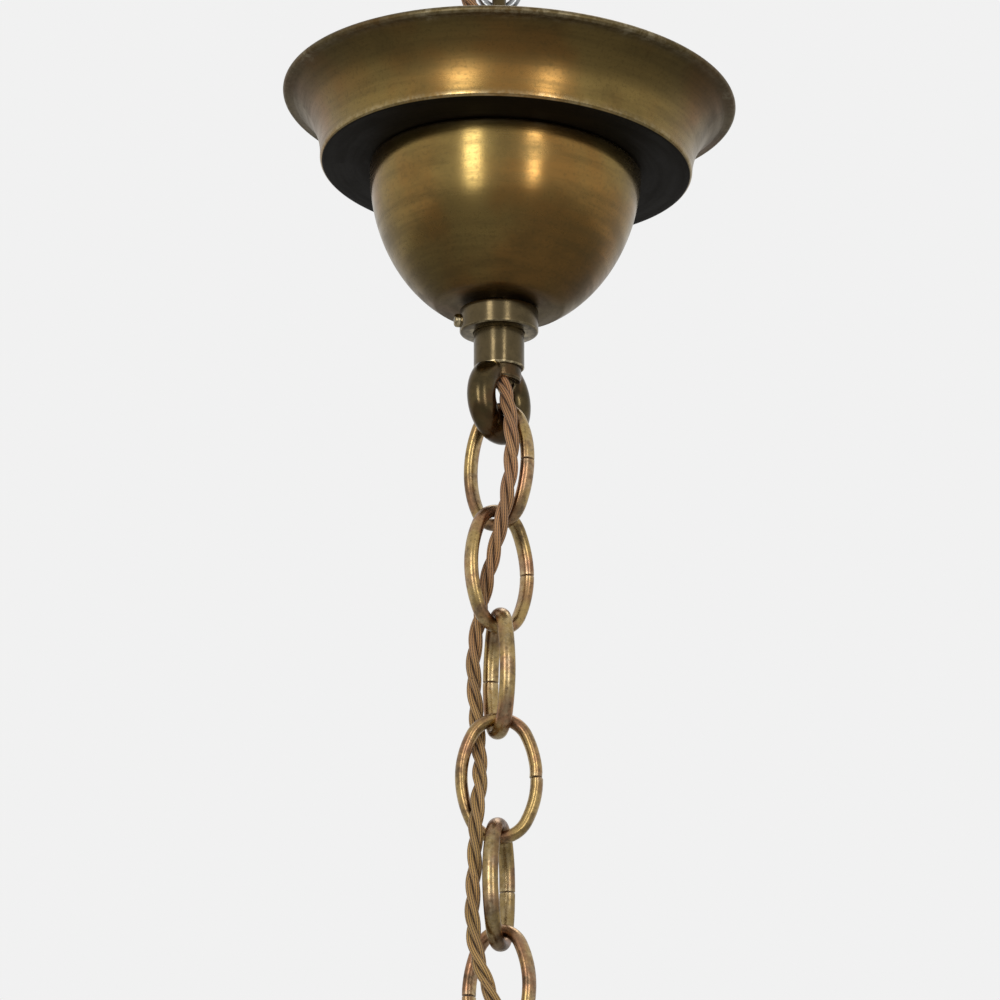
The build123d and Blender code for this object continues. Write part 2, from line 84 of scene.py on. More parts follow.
def colour(name, description, red, green, blue):
    """A colour that the user can change."""
    return bpy.props.FloatVectorProperty(
        name=name, description=description, default=(red, green, blue), min=0, max=1, size=3, subtype="COLOR"
    )


class CanopySizes(bpy.types.PropertyGroup):
    """Sizes of the pan, the cup and the way they lean on the collar."""

    lean: angle("Lean", "How far the canopy leans from upright", 3.5)
    lean_turn: angle("Lean turn", "Side of the stem that the canopy's top leans to", 41.5)
    sheet: length("Sheet", "Thickness of the spun sheet", 1.0)
    cup_radius: length("Cup radius", "Outer radius at the cup's top", 46.1)
    cup_height: length("Cup height", "Height of the cup from its foot to the pan", 50.0)
    cup_bulge: length("Cup bulge", "Upright half axis of the cup's oval outline", 56.52)
    cup_hole: length("Cup hole", "Radius of the hole for the stem", 9.1)
    cup_flange: length("Cup flange", "Width of the flange turned in at the top", 10.0)
    pan_radius: length("Pan radius", "Outer radius at the pan's floor", 63.3)
    pan_round: length("Pan round", "Radius of the corner between floor and flare", 1.5)
    pan_rim: length("Pan rim", "Outer radius over the rim's bead", 77.2)
    pan_flare: length("Pan flare", "Radius of the flare's hollow outline", 29.0)
    rim_bead: length("Rim bead", "Diameter of the bead rolled into the rim", 2.6)


class StemSizes(bpy.types.PropertyGroup):
    """Sizes of the stem, the collar and the cast rings."""

    shoulder: length("Shoulder depth", "Depth of the stem ring's shoulder under the ceiling", 171.9)
    sleeve_length: length("Sleeve length", "Length of the sleeve over the threaded tube", 103.6)
    sleeve_diameter: length("Sleeve diameter", "Outer diameter of the sleeve", 17.0)
    sleeve_wall: length("Sleeve wall", "Wall of the sleeve", 1.0)
    washer_diameter: length("Washer diameter", "Diameter of the washer on the sleeve", 18.0)
    washer_height: length("Washer height", "Thickness of the washer on the sleeve", 1.5)
    nut_width: length("Nut width", "Width of the nut across its flats", 14.0)
    nut_height: length("Nut height", "Height of the nut over the washer", 4.5)
    tube_diameter: length("Tube diameter", "Outer diameter of the threaded tube", 10.0)
    collar_diameter: length("Collar diameter", "Outer diameter of the slip collar", 26.5)
    collar_height: length("Collar height", "Height of the slip collar", 8.2)
    collar_seat: length("Collar seat", "Height of the collar's top over the shoulder", 20.9)
    screw_turn: angle("Screw turn", "Direction that the collar's screw faces", 186.0)
    screw_head: length("Screw head", "Diameter of the collar screw's head", 4.6)
    screw_head_height: length("Screw head height", "Height of the collar screw's head", 2.0)
    screw_diameter: length("Screw diameter", "Diameter of the collar screw's shank", 3.0)
    screw_slot: length("Screw slot", "Width of the slot in the collar screw's head", 0.7)
    screw_slot_depth: length("Screw slot depth", "Depth of the slot in the collar screw's head", 0.8)
    ring_radius: length("Ring radius", "Radius of the cast rings' middle line", 10.3)
    ring_wire: length("Ring wire", "Thickness of the cast rings", 9.6)
    stem_ring_turn: angle("Stem ring turn", "Turn of the upper ring about the stem", 55.0)
    body_ring_turn: angle("Body ring turn", "Turn of the lower ring about the stem", 52.0)
    boss_diameter: length("Boss diameter", "Diameter of the boss over the ring", 15.0)
    boss_rise: length("Boss rise", "Height of the shoulder over the ring's middle line", 0.8)
    mouth_setback: length("Mouth setback", "How far the flex's mouth is set back into the ring", 0.9)
    neck_height: length("Neck height", "Height of the lower ring's threaded neck", 25.0)
    thread_radius: length("Thread radius", "Radius of the hole for the body's tube", 4.5)
    thread_depth: length("Thread depth", "Depth of the hole for the body's tube", 12.0)
    flex_bore: length("Flex bore", "Diameter of the way for the flex through the castings", 8.4)
    mouth_lip: length("Mouth lip", "Diameter of the flex's mouth where it opens into a ring", 10.6)
    eye_entry: length("Eye entry", "How far the threaded tube goes into the top eye", 5.0)
    eye_depth: length("Eye depth", "Depth of the top eye's middle under the ceiling", 45.2)
    eye_radius: length("Eye radius", "Radius of the top eye's middle line", 7.5)
    eye_wire: length("Eye wire", "Thickness of the top eye", 4.8)
    eye_boss: length("Eye boss", "Diameter of the top eye's boss", 14.0)
    eye_boss_height: length("Eye boss height", "Height of the top eye's boss", 10.5)


class ChainSizes(bpy.types.PropertyGroup):
    """Sizes of the chain's links."""

    first_middle: length("First middle", "Depth of the first link's middle under the ceiling", 206.25)
    pitch: length("Pitch", "Distance from one link's middle to the next", 35.8)
    path_length: length("Path length", "Length of a link along its wire's middle line", 40.3)
    path_width: length("Path width", "Width of a link along its wire's middle line", 24.8)
    end_radius: length("End radius", "Radius of a link's ends", 10.0)
    wire_thickness: length("Wire thickness", "Thickness of the wire in the link's plane", 4.2)
    wire_breadth: length("Wire breadth", "Breadth of the wire across the link", 5.3)
    seam: length("Seam", "Gap where the wire's ends meet", 0.3)


class FlexSizes(bpy.types.PropertyGroup):
    """Sizes of the twisted flex."""

    diameter: length("Flex diameter", "Diameter over the twisted cores", 5.2)
    core: length("Core diameter", "Diameter of one braided core", 2.36)
    lay: length("Lay", "Length of one full twist", 30.0)
    clearance: length("Flex clearance", "Gap that the castings leave round the flex", 0.35)
    stem_cut: length("Stem cut", "Height over the shoulder where the flex in the stem ends", 5.0)
    whipping: length("Whipping length", "Length of the binding round the flex's upper end", 6.0)


class HookSizes(bpy.types.PropertyGroup):
    """Sizes of the ceiling hook and its wood screw."""

    wire: length("Hook wire", "Thickness of the hook's wire", 3.2)
    bend_radius: length("Bend radius", "Radius of the hook's bend", 6.3)
    drop: length("Hook drop", "Depth of the bend's lowest point under the ceiling", 42.0)
    shank_drop: length("Shank drop", "Depth at which the shank jogs aside", 10.0)
    jog_height: length("Jog height", "Height over which the shank jogs aside", 8.0)
    jog_round: length("Jog round", "Radius of the jog's two corners", 5.0)
    tip_rise: length("Tip rise", "Height of the hook's tip over the bend's middle", 7.0)
    screw_diameter: length("Hook screw diameter", "Diameter over the wood screw's thread", 4.5)
    screw_core: length("Screw core", "Diameter at the foot of the thread", 3.2)
    screw_length: length("Screw length", "Length of the wood screw above the ceiling", 30.0)
    screw_point: length("Screw point", "Length of the wood screw's taper", 6.0)
    screw_pitch: length("Screw pitch", "Rise of the thread in one turn", 2.0)
    plain_shank: length("Plain shank", "Length of the screw below its thread", 4.0)
    shoulder_diameter: length("Hook shoulder", "Diameter of the shoulder through the strap", 6.0)
    flange_diameter: length("Hook flange", "Diameter of the flange under the strap", 12.0)
    flange_height: length("Flange height", "Thickness of the flange", 1.6)
    strap: length("Strap", "Thickness of the strap between flange and ceiling", 1.5)


class Finishes(bpy.types.PropertyGroup):
    """Colours of the finishes."""

    bronze: colour("Bronze", "Spun bronze where the patina is thin", 0.33, 0.225, 0.072)
    bronze_warm: colour("Warm bronze", "Orange-brown areas of the spun bronze", 0.34, 0.180, 0.050)
    bronze_dark: colour("Bronze patina", "Olive patina on the spun bronze", 0.135, 0.095, 0.034)
    # Also the colour of the painted highlights on the pan's rim, the cup's top edge and the sleeve's lower
    # edge
    bronze_rub_and_highlight: colour("Bronze rubbed", "Bronze rubbed bright on edges", 0.80, 0.66, 0.40)
    turned: colour("Turned bronze", "Greyish bronze of collar and neck", 0.142, 0.106, 0.054)
    turned_dark: colour("Turned patina", "Olive-grey patina on the collar and the neck", 0.066, 0.051, 0.027)
    cast: colour("Cast bronze", "Dark casting of the rings", 0.112, 0.080, 0.036)
    cast_warm: colour("Warm casting", "Browner areas of the castings", 0.118, 0.068, 0.032)
    cast_dark: colour("Cast patina", "Nearly black patina in the castings", 0.048, 0.038, 0.020)
    link: colour("Link gold", "Olive gold of the links", 0.44, 0.300, 0.115)
    link_warm: colour("Link copper", "Coppery pink areas of the links", 0.40, 0.205, 0.110)
    link_dark: colour("Link patina", "Dark speckles on the links", 0.080, 0.056, 0.032)
    link_rub: colour("Link rubbed", "Bright gold where the links are rubbed", 0.90, 0.74, 0.46)
    steel: colour("Hook steel", "Dull plated steel of the hook", 0.40, 0.41, 0.41)
    brass: colour("Raw brass", "Machined brass inside the block and stem", 0.62, 0.46, 0.20)
    cotton: colour("Cotton", "Old-gold cotton of the flex", 0.62, 0.375, 0.110)
    cotton_warm: colour("Warm cotton", "Pinkish tan of the flex's upper part", 0.64, 0.310, 0.135)
    # Also the colour of the painted shade in the groove between the cores
    cotton_dark: colour("Cotton shade", "Dark lines between the flex's threads", 0.060, 0.030, 0.014)
    block: colour("Block", "Moulded terminal block", 0.74, 0.72, 0.66)
    bush: colour("Bush", "Moulded bushes in the threaded tube's ends", 0.62, 0.60, 0.54)
    sheath: colour("Sheath", "Rubber round the parted cores", 0.30, 0.16, 0.09)
    pale: colour("Floor", "Pale floor and background", 0.80, 0.80, 0.80)


# Modelling helpers

def sizes(group):
    """One of the scene's groups of sizes."""
    return getattr(bpy.context.scene, group)


def deselect():
    """Leave edit mode and select nothing."""
    if bpy.context.object and bpy.context.object.mode != "OBJECT":
        bpy.ops.object.mode_set(mode="OBJECT")
    bpy.ops.object.select_all(action="DESELECT")


def pick(piece):
    """Select only this piece and make it the active one."""
    deselect()
    piece.select_set(True)
    bpy.context.view_layer.objects.active = piece
    return piece


def start_editing():
    """Edit the active piece with everything on it selected."""
    bpy.ops.object.mode_set(mode="EDIT")
    bpy.ops.mesh.select_all(action="SELECT")


def finish_editing(name, crease=35.0):
    """Close the mesh, point its faces outwards, shade it and name it."""
    bpy.ops.mesh.select_all(action="SELECT")
    bpy.ops.mesh.remove_doubles(threshold=WELD)
    bpy.ops.mesh.normals_make_consistent(inside=False)
    bpy.ops.object.mode_set(mode="OBJECT")
    bpy.ops.object.shade_smooth_by_angle(angle=radians(crease))
    piece = bpy.context.object
    piece.name = name
    piece.data.name = name
    return piece


def arc(centre, radius, first, last, steps):
    """Points on an arc in a turned outline, angles in degrees."""
    points = []
    for step in range(steps + 1):
        turn = radians(first + (last - first) * step / steps)
        points.append((centre[0] + radius * cos(turn), centre[1] + radius * sin(turn)))
    return points


def filled(corners, near=0.01 * MM):
    """Outline of a turned solid through these corners, drawn in at both ends almost to the axis."""
    return [(near, corners[0][1]), *corners, (near, corners[-1][1])]


def turned(name, outline, segments=128, closed=True):
    """A turned piece: a ring is drawn along the outline's (radius, height) points."""
    deselect()
    radius, height = outline[0]
    bpy.ops.mesh.primitive_circle_add(vertices=segments, radius=radius, location=(0, 0, height))
    start_editing()
    following = outline[1:] + outline[:1] if closed else outline[1:]
    for next_radius, next_height in following:
        bpy.ops.mesh.extrude_edges_move(TRANSFORM_OT_translate={"value": (0, 0, next_height - height)})
        share = next_radius / radius
        bpy.ops.transform.resize(value=(share, share, 1), center_override=(0, 0, next_height))
        radius, height = next_radius, next_height
    if not closed:
        bpy.ops.mesh.select_all(action="SELECT")
        bpy.ops.mesh.fill_holes(sides=0)
    return settle(finish_editing(name))


def settle(piece):
    """Put the piece's own place, turn and scale into its mesh."""
    pick(piece)
    bpy.ops.object.transform_apply(location=True, rotation=True, scale=True)
    return piece


def stand(piece, matrix):
    """Move a settled piece to its place and settle it there."""
    piece.matrix_world = matrix
    return settle(piece)


def axes(place, own_x, own_y, own_z):
    """Frame at this place whose own X, Y and Z run these ways."""
    return Matrix.Translation(place) @ Matrix((own_x, own_y, own_z)).transposed().to_4x4()


def upright(turn, height):
    """Frame whose own X runs level at this turn and whose own Y runs up."""
    level = Vector((cos(turn), sin(turn), 0))
    up = Vector((0, 0, 1))
    return axes((0, 0, height), level, up, level.cross(up))


def apply_modifier(piece, kind, **values):
    """Add a modifier with these values and apply it."""
    pick(piece)
    modifier = piece.modifiers.new(kind.title(), kind)
    for key, value in values.items():
        setattr(modifier, key, value)
    bpy.ops.object.modifier_apply(modifier=modifier.name)
    return piece


def combine(piece, tool, operation="DIFFERENCE"):
    """Cut the piece by the tool, weld it on or keep what they share, and remove the tool."""
    apply_modifier(piece, "BOOLEAN", object=tool, operation=operation, solver="EXACT")
    bpy.data.objects.remove(tool)
    return piece


def soften(piece, width, segments, sharp=60.0):
    """Round the edges that turn by more than this many degrees."""
    limits = {"limit_method": "ANGLE", "angle_limit": radians(sharp)}
    return apply_modifier(piece, "BEVEL", width=width, segments=segments, **limits)


def mend(piece, name, crease=35.0):
    """Close, shade and name a piece whose mesh was cut or welded."""
    pick(piece)
    start_editing()
    return finish_editing(name, crease)


def join(name, *parts):
    """Join pieces into one."""
    deselect()
    for part in parts:
        part.select_set(True)
    bpy.context.view_layer.objects.active = parts[0]
    bpy.ops.object.join()
    piece = bpy.context.object
    piece.name = name
    piece.data.name = name
    return piece


def places_of(piece):
    """The places of the piece's points, one row each."""
    return np.array([vertex.co for vertex in piece.data.vertices])


def bell(values, middle, width):
    """1 where the values are at the middle, fading to 0 within about two widths of it."""
    return np.exp(-(((values - middle) / width) ** 2))


def rub_edges(piece, reach=2, gain=6.0, gentle=0.09):
    """Store how sharply each point stands out past a gentle curve, for edges rubbed bright."""
    shell = bmesh.new()
    shell.from_mesh(piece.data)
    shell.normal_update()
    raised = {}
    for vertex in shell.verts:
        total = 0.0
        for edge in vertex.link_edges:
            if len(edge.link_faces) == 2:
                total += max(0.0, edge.calc_face_angle_signed(0.0))
        raised[vertex.index] = total / max(1, len(vertex.link_edges))
    for _ in range(reach):
        spread = {}
        for vertex in shell.verts:
            near = [raised[edge.other_vert(vertex).index] for edge in vertex.link_edges]
            spread[vertex.index] = 0.5 * raised[vertex.index] + 0.5 * sum(near) / max(1, len(near))
        raised = spread
    values = [min(1.0, max(0.0, raised[index] - gentle) * gain) for index in range(len(shell.verts))]
    shell.free()
    store(piece, "rubbed", values)


def store(piece, name, values):
    """Store one number a point under a name that a finish reads."""
    attribute = piece.data.attributes.get(name) or piece.data.attributes.new(name, "FLOAT", "POINT")
    attribute.data.foreach_set("value", np.asarray(values, dtype=np.float32))


def dress(piece, material, body, node):
    """Give the piece its finish, its body and the node it stands for."""
    piece.data.materials.clear()
    piece.data.materials.append(material)
    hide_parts(node)
    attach(piece, body)


def repaint(node, material):
    """Give a carried-over node a finish of its own."""
    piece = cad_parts[node]
    if not piece.data.materials:
        piece.data.materials.append(material)
    for place in range(len(piece.material_slots)):
        piece.material_slots[place].material = material


# Finishes

# How closely the lathe's lines lie, as a scale of noise
LATHE_SCALE = 1400.0

# Colour of the painted shade that darkens the canopy's sheltered sides
PAINTED_SHADE_COLOUR = (0.012, 0.009, 0.005)


class Sheet:
    """A node tree that is filled a node at a time."""

    def __init__(self, tree):
        self.tree = tree

    def add(self, kind, values=None, **settings):
        """A node with its settings, its inputs set or linked."""
        node = self.tree.nodes.new(kind)
        for key, value in settings.items():
            setattr(node, key, value)
        self.feed(node.inputs, values or {})
        return node

    def feed(self, sockets, values):
        """Set each of these sockets to its value, or link it. Colours are opaque."""
        for key, value in values.items():
            if isinstance(value, bpy.types.NodeSocket):
                self.tree.links.new(value, sockets[key])
            else:
                tinted = sockets[key].type == "RGBA"
                sockets[key].default_value = (*value, 1) if tinted else value

    def maths(self, operation, first, second, clamp=False):
        """One sum on two numbers."""
        node = self.add("ShaderNodeMath", {0: first, 1: second}, operation=operation, use_clamp=clamp)
        return node.outputs[0]

    def times(self, first, second, clamp=False):
        """The product of two numbers."""
        return self.maths("MULTIPLY", first, second, clamp)

    def plus(self, first, second, clamp=False):
        """Two numbers added up."""
        return self.maths("ADD", first, second, clamp)

    def blend(self, share, first, second):
        """A mix of two colours."""
        node = self.add("ShaderNodeMix", {0: share, 6: first, 7: second}, data_type="RGBA")
        return node.outputs[2]

    def noise(self, vector, scale, detail=4.0, roughness=0.55):
        """Cloudy noise from 0 to 1."""
        values = {"Vector": vector, "Scale": scale, "Detail": detail, "Roughness": roughness}
        return self.add("ShaderNodeTexNoise", values).outputs["Fac"]

    def steps(self, value, low, high):
        """A smooth step from 0 at low to 1 at high."""
        values = {"Value": value, "From Min": low, "From Max": high}
        node = self.add("ShaderNodeMapRange", values, interpolation_type="SMOOTHSTEP", clamp=True)
        return node.outputs["Result"]


def new_group(name, inputs, outputs):
    """A shader group with named sockets, and its sheet."""
    tree = bpy.data.node_groups.new(name, "ShaderNodeTree")
    kinds = {"colour": "NodeSocketColor", "number": "NodeSocketFloat", "vector": "NodeSocketVector"}
    for way, sockets in (("INPUT", inputs), ("OUTPUT", outputs)):
        for socket, kind in sockets:
            tree.interface.new_socket(name=socket, in_out=way, socket_type=kinds[kind])
    sheet = Sheet(tree)
    return sheet, sheet.add("NodeGroupInput").outputs, sheet.add("NodeGroupOutput").inputs


def patina_group():
    """Aged metal: cloudy patina, dark specks, fine scratches and rubbed edges."""
    made = bpy.data.node_groups.get("patina")
    if made:
        return made
    sheet, given, out = new_group(
        "patina",
        [
            ("Vector", "vector"), ("Metal", "colour"), ("Other Metal", "colour"), ("Tone Scale", "number"),
            ("Patina", "colour"), ("Rubbed", "colour"),
            ("Cloud Scale", "number"), ("Cloud Low", "number"), ("Cloud High", "number"),
            ("Speck Scale", "number"), ("Speck Amount", "number"), ("Rub Mask", "number"),
            ("Smoothest", "number"), ("Dullest", "number"),
        ],
        [("Color", "colour"), ("Roughness", "number"), ("Height", "number")],
    )
    cloud = sheet.noise(given["Vector"], given["Cloud Scale"], 6.0, 0.62)
    cloud = sheet.steps(cloud, given["Cloud Low"], given["Cloud High"])
    speck = sheet.noise(given["Vector"], given["Speck Scale"], 3.0, 0.6)
    speck = sheet.times(sheet.steps(speck, 0.52, 0.66), given["Speck Amount"])
    scuff_scale = sheet.times(given["Speck Scale"], 0.45)
    scuff = sheet.steps(sheet.noise(given["Vector"], scuff_scale, 5.0, 0.7), 0.40, 0.62)
    rub = sheet.times(given["Rub Mask"], sheet.plus(scuff, 0.25), clamp=True)
    tone = sheet.steps(sheet.noise(given["Vector"], given["Tone Scale"], 3.0, 0.5), 0.42, 0.62)
    bare = sheet.blend(tone, given["Metal"], given["Other Metal"])
    shade = sheet.blend(cloud, bare, given["Patina"])
    shade = sheet.blend(speck, shade, given["Patina"])
    shade = sheet.blend(rub, shade, given["Rubbed"])
    dull = sheet.times(speck, 0.6)
    dull = sheet.plus(sheet.times(cloud, 0.55), dull, clamp=True)
    dull = sheet.times(dull, sheet.maths("SUBTRACT", 1.0, sheet.times(rub, 0.6)))
    span = sheet.maths("SUBTRACT", given["Dullest"], given["Smoothest"])
    rough = sheet.plus(given["Smoothest"], sheet.times(dull, span))
    grain = sheet.noise(given["Vector"], sheet.times(given["Speck Scale"], 0.8), 2.0, 0.5)
    height = sheet.maths("SUBTRACT", sheet.times(grain, 0.35), speck)
    sheet.feed(out, {"Color": shade, "Roughness": rough, "Height": height})
    return sheet.tree


def lathe_group():
    """Fine lines left round a spun or turned piece, read from its own axis along Z."""
    made = bpy.data.node_groups.get("lathe lines")
    if made:
        return made
    inputs = [("Vector", "vector"), ("Scale", "number")]
    sheet, given, out = new_group("lathe lines", inputs, [("Lines", "number"), ("Bands", "number")])
    parts = sheet.add("ShaderNodeSeparateXYZ", {0: given["Vector"]}).outputs
    flat = sheet.add("ShaderNodeCombineXYZ", {0: parts[0], 1: parts[1]}).outputs[0]
    radius = sheet.add("ShaderNodeVectorMath", {0: flat}, operation="LENGTH").outputs["Value"]
    turn = sheet.maths("ARCTAN2", parts[1], parts[0])
    slow = sheet.times(turn, 0.0006)
    round_it = sheet.add("ShaderNodeCombineXYZ", {0: radius, 1: slow, 2: parts[2]}).outputs[0]
    lines = sheet.noise(round_it, given["Scale"], 3.0, 0.6)
    streak = sheet.times(turn, 0.0045)
    smear = sheet.add("ShaderNodeCombineXYZ", {0: radius, 1: streak, 2: parts[2]}).outputs[0]
    bands = sheet.noise(smear, sheet.times(given["Scale"], 0.17), 5.0, 0.62)
    sheet.feed(out, {"Lines": lines, "Bands": bands})
    return sheet.tree


def new_material(name):
    """An empty material with its sheet, shader and object coordinates."""
    material = bpy.data.materials.new(name)
    material.use_nodes = True
    material.node_tree.nodes.clear()
    sheet = Sheet(material.node_tree)
    shader = sheet.add("ShaderNodeBsdfPrincipled")
    sheet.add("ShaderNodeOutputMaterial", {"Surface": shader.outputs[0]})
    place = sheet.add("ShaderNodeTexCoord").outputs["Object"]
    return material, sheet, shader, place


def bump(sheet, shader, height, strength, distance):
    """Feed a height through a bump into the shader."""
    node = sheet.add("ShaderNodeBump", {"Height": height, "Strength": strength, "Distance": distance})
    sheet.feed(shader.inputs, {"Normal": node.outputs[0]})


def dimmed(tint, share):
    """The colour made darker, or lighter where the share is over 1."""
    return tuple(part * share for part in tint)


def aged_metal(name, metal, dark, clouds, specks, polish, rubbed=None, lathe=0.0, axis=None,
               dents=0.03, other=None, tone=60.0):
    """A metal under patina.

    clouds is (scale, low, high), specks is (scale, amount) and polish is (smoothest, dullest).
    rubbed is the colour of the edges where the piece stores that they are rubbed, lathe the depth
    of lines round the axis, other a second bare colour and tone the scale at which it changes.
    """
    made = bpy.data.materials.get(name)
    if made:
        return made
    material, sheet, shader, place = new_material(name)
    if axis is not None:
        turn = axis.to_euler()
        place = sheet.add(
            "ShaderNodeMapping", {"Vector": place, "Location": axis.translation, "Rotation": turn}
        ).outputs[0]
    values = {
        "Vector": place, "Metal": metal, "Other Metal": other or metal, "Tone Scale": tone, "Patina": dark,
        "Cloud Scale": clouds[0], "Cloud Low": clouds[1], "Cloud High": clouds[2],
        "Speck Scale": specks[0], "Speck Amount": specks[1], "Smoothest": polish[0], "Dullest": polish[1],
    }
    if rubbed:
        mask = sheet.add("ShaderNodeAttribute", attribute_name="rubbed").outputs["Fac"]
        values.update({"Rubbed": rubbed, "Rub Mask": mask})
    age = sheet.add("ShaderNodeGroup", values, node_tree=patina_group()).outputs
    shade, rough, height = age["Color"], age["Roughness"], age["Height"]
    if lathe:
        values = {"Vector": place, "Scale": LATHE_SCALE}
        marks = sheet.add("ShaderNodeGroup", values, node_tree=lathe_group()).outputs
        height = sheet.plus(height, sheet.times(marks["Lines"], lathe))
        band = sheet.steps(marks["Bands"], 0.35, 0.72)
        shade = sheet.blend(sheet.times(band, 0.5), shade, dark)
        rough = sheet.plus(rough, sheet.times(sheet.maths("SUBTRACT", band, 0.5), 0.10))
    sheet.feed(shader.inputs, {"Base Color": shade, "Roughness": rough, "Metallic": 1.0})
    bump(sheet, shader, height, 0.35, dents * MM)
    return material


def canopy_metal(name, axis, gloss):
    """The canopy's bronze: patina with lathe lines, painted shade read from the piece, and rubbed edges and
    painted highlights read from it too.
    """
    made = bpy.data.materials.get(name)
    if made:
        return made
    finish = sizes("finishes")
    material = aged_metal(
        name, finish.bronze, finish.bronze_dark,
        rubbed=finish.bronze_rub_and_highlight, other=finish.bronze_warm, tone=26.0, lathe=0.8, axis=axis,
        clouds=(42.0, 0.44, 0.86), specks=(900.0, 0.30), polish=gloss, dents=0.02,
    )
    sheet = Sheet(material.node_tree)
    shader = next(node for node in material.node_tree.nodes if node.type == "BSDF_PRINCIPLED")
    # The stored shade is painted shade: it draws the colour towards the painted shade colour and dulls the
    # surface
    dim = sheet.add("ShaderNodeAttribute", attribute_name="shade").outputs["Fac"]
    lit = shader.inputs["Base Color"].links[0].from_socket
    rough = shader.inputs["Roughness"].links[0].from_socket
    darker = sheet.blend(dim, lit, PAINTED_SHADE_COLOUR)
    duller = sheet.plus(rough, sheet.times(dim, 0.4), clamp=True)
    sheet.feed(shader.inputs, {"Base Color": darker, "Roughness": duller})
    return material


def moulded(name, tint, rough):
    """Moulded plastic with a faint grain."""
    made = bpy.data.materials.get(name)
    if made:
        return made
    material, sheet, shader, place = new_material(name)
    cloud = sheet.noise(place, 160.0, 3.0)
    grain = sheet.noise(place, 2600.0, 2.0)
    shade = sheet.blend(sheet.steps(cloud, 0.35, 0.75), tint, dimmed(tint, 0.82))
    rough = sheet.plus(sheet.times(grain, 0.15), rough)
    sheet.feed(shader.inputs, {"Base Color": shade, "Roughness": rough})
    bump(sheet, shader, grain, 0.2, 0.02 * MM)
    return material


def cotton(name, gain, lines_round=9.0, lines_along=70.0, braid_along=900.0):
    """Braided cotton: long threads that wind slowly, crossed by a finer braid, from the UV map."""
    made = bpy.data.materials.get(name)
    if made:
        return made
    finish = sizes("finishes")
    material, sheet, shader, place = new_material(name)
    chart = sheet.add("ShaderNodeUVMap", uv_map="braid").outputs[0]
    parts = sheet.add("ShaderNodeSeparateXYZ", {0: chart}).outputs
    waves = []
    for along in (lines_along, -braid_along):
        winding = sheet.times(parts[0], 2 * pi * lines_round)
        phase = sheet.plus(winding, sheet.times(parts[1], 2 * pi * along))
        waves.append(sheet.plus(sheet.times(sheet.maths("SINE", phase, 0.0), 0.5), 0.5))
    braid = sheet.times(waves[1], 0.18)
    weave = sheet.plus(sheet.times(waves[0], 0.82), braid)
    fuzz = sheet.noise(place, 3200.0, 3.0, 0.7)
    height = sheet.add("ShaderNodeSeparateXYZ", {0: place}).outputs[2]
    upper = sheet.steps(height, -0.32, -0.22)
    cloud = sheet.steps(sheet.noise(place, 90.0, 4.0), 0.35, 0.7)
    warm = sheet.plus(sheet.times(upper, 0.7), sheet.times(cloud, 0.3))
    shade = sheet.blend(warm, dimmed(finish.cotton, gain), dimmed(finish.cotton_warm, gain))
    shade = sheet.blend(sheet.steps(weave, 0.05, 0.55), finish.cotton_dark, shade)
    shade = sheet.blend(sheet.times(fuzz, 0.25), shade, finish.cotton_dark)
    # Painted shade where the cores dip into the groove between them
    groove = sheet.add("ShaderNodeAttribute", attribute_name="groove").outputs["Fac"]
    shade = sheet.blend(sheet.times(groove, 0.8), shade, finish.cotton_dark)
    values = {"Base Color": shade, "Roughness": 0.55, "Sheen Weight": 0.2, "Sheen Roughness": 0.5}
    sheet.feed(shader.inputs, values)
    relief = sheet.plus(sheet.times(weave, 0.9), sheet.times(fuzz, 0.25))
    bump(sheet, shader, relief, 0.8, 0.16 * MM)
    return material


# Canopy

def canopy_frame():
    """Frame of the leaning canopy, whose own Z is its axis and whose origin is its seat."""
    canopy, stem = sizes("canopy"), sizes("stem")
    collar_top = -stem.shoulder + stem.collar_seat
    seat = collar_top + 0.3 * MM + stem.collar_diameter / 2 * tan(canopy.lean)
    aside = sin(canopy.lean)
    up = Vector((aside * cos(canopy.lean_turn), aside * sin(canopy.lean_turn), cos(canopy.lean)))
    side = Vector((0, 1, 0)).cross(up).normalized()
    return axes((0, 0, seat), side, up.cross(side), up)


# Degrees from the front at which the rim is chipped, where the painted highlight along the bead is
# brightest, and how wide both are
RIM_CHIPS = (-64.0, -21.0, 31.0, 37.5, 78.0)
CHIP_WIDTH = 1.3
RIM_HIGHLIGHT = 4.0
HIGHLIGHT_WIDTH = 24.0


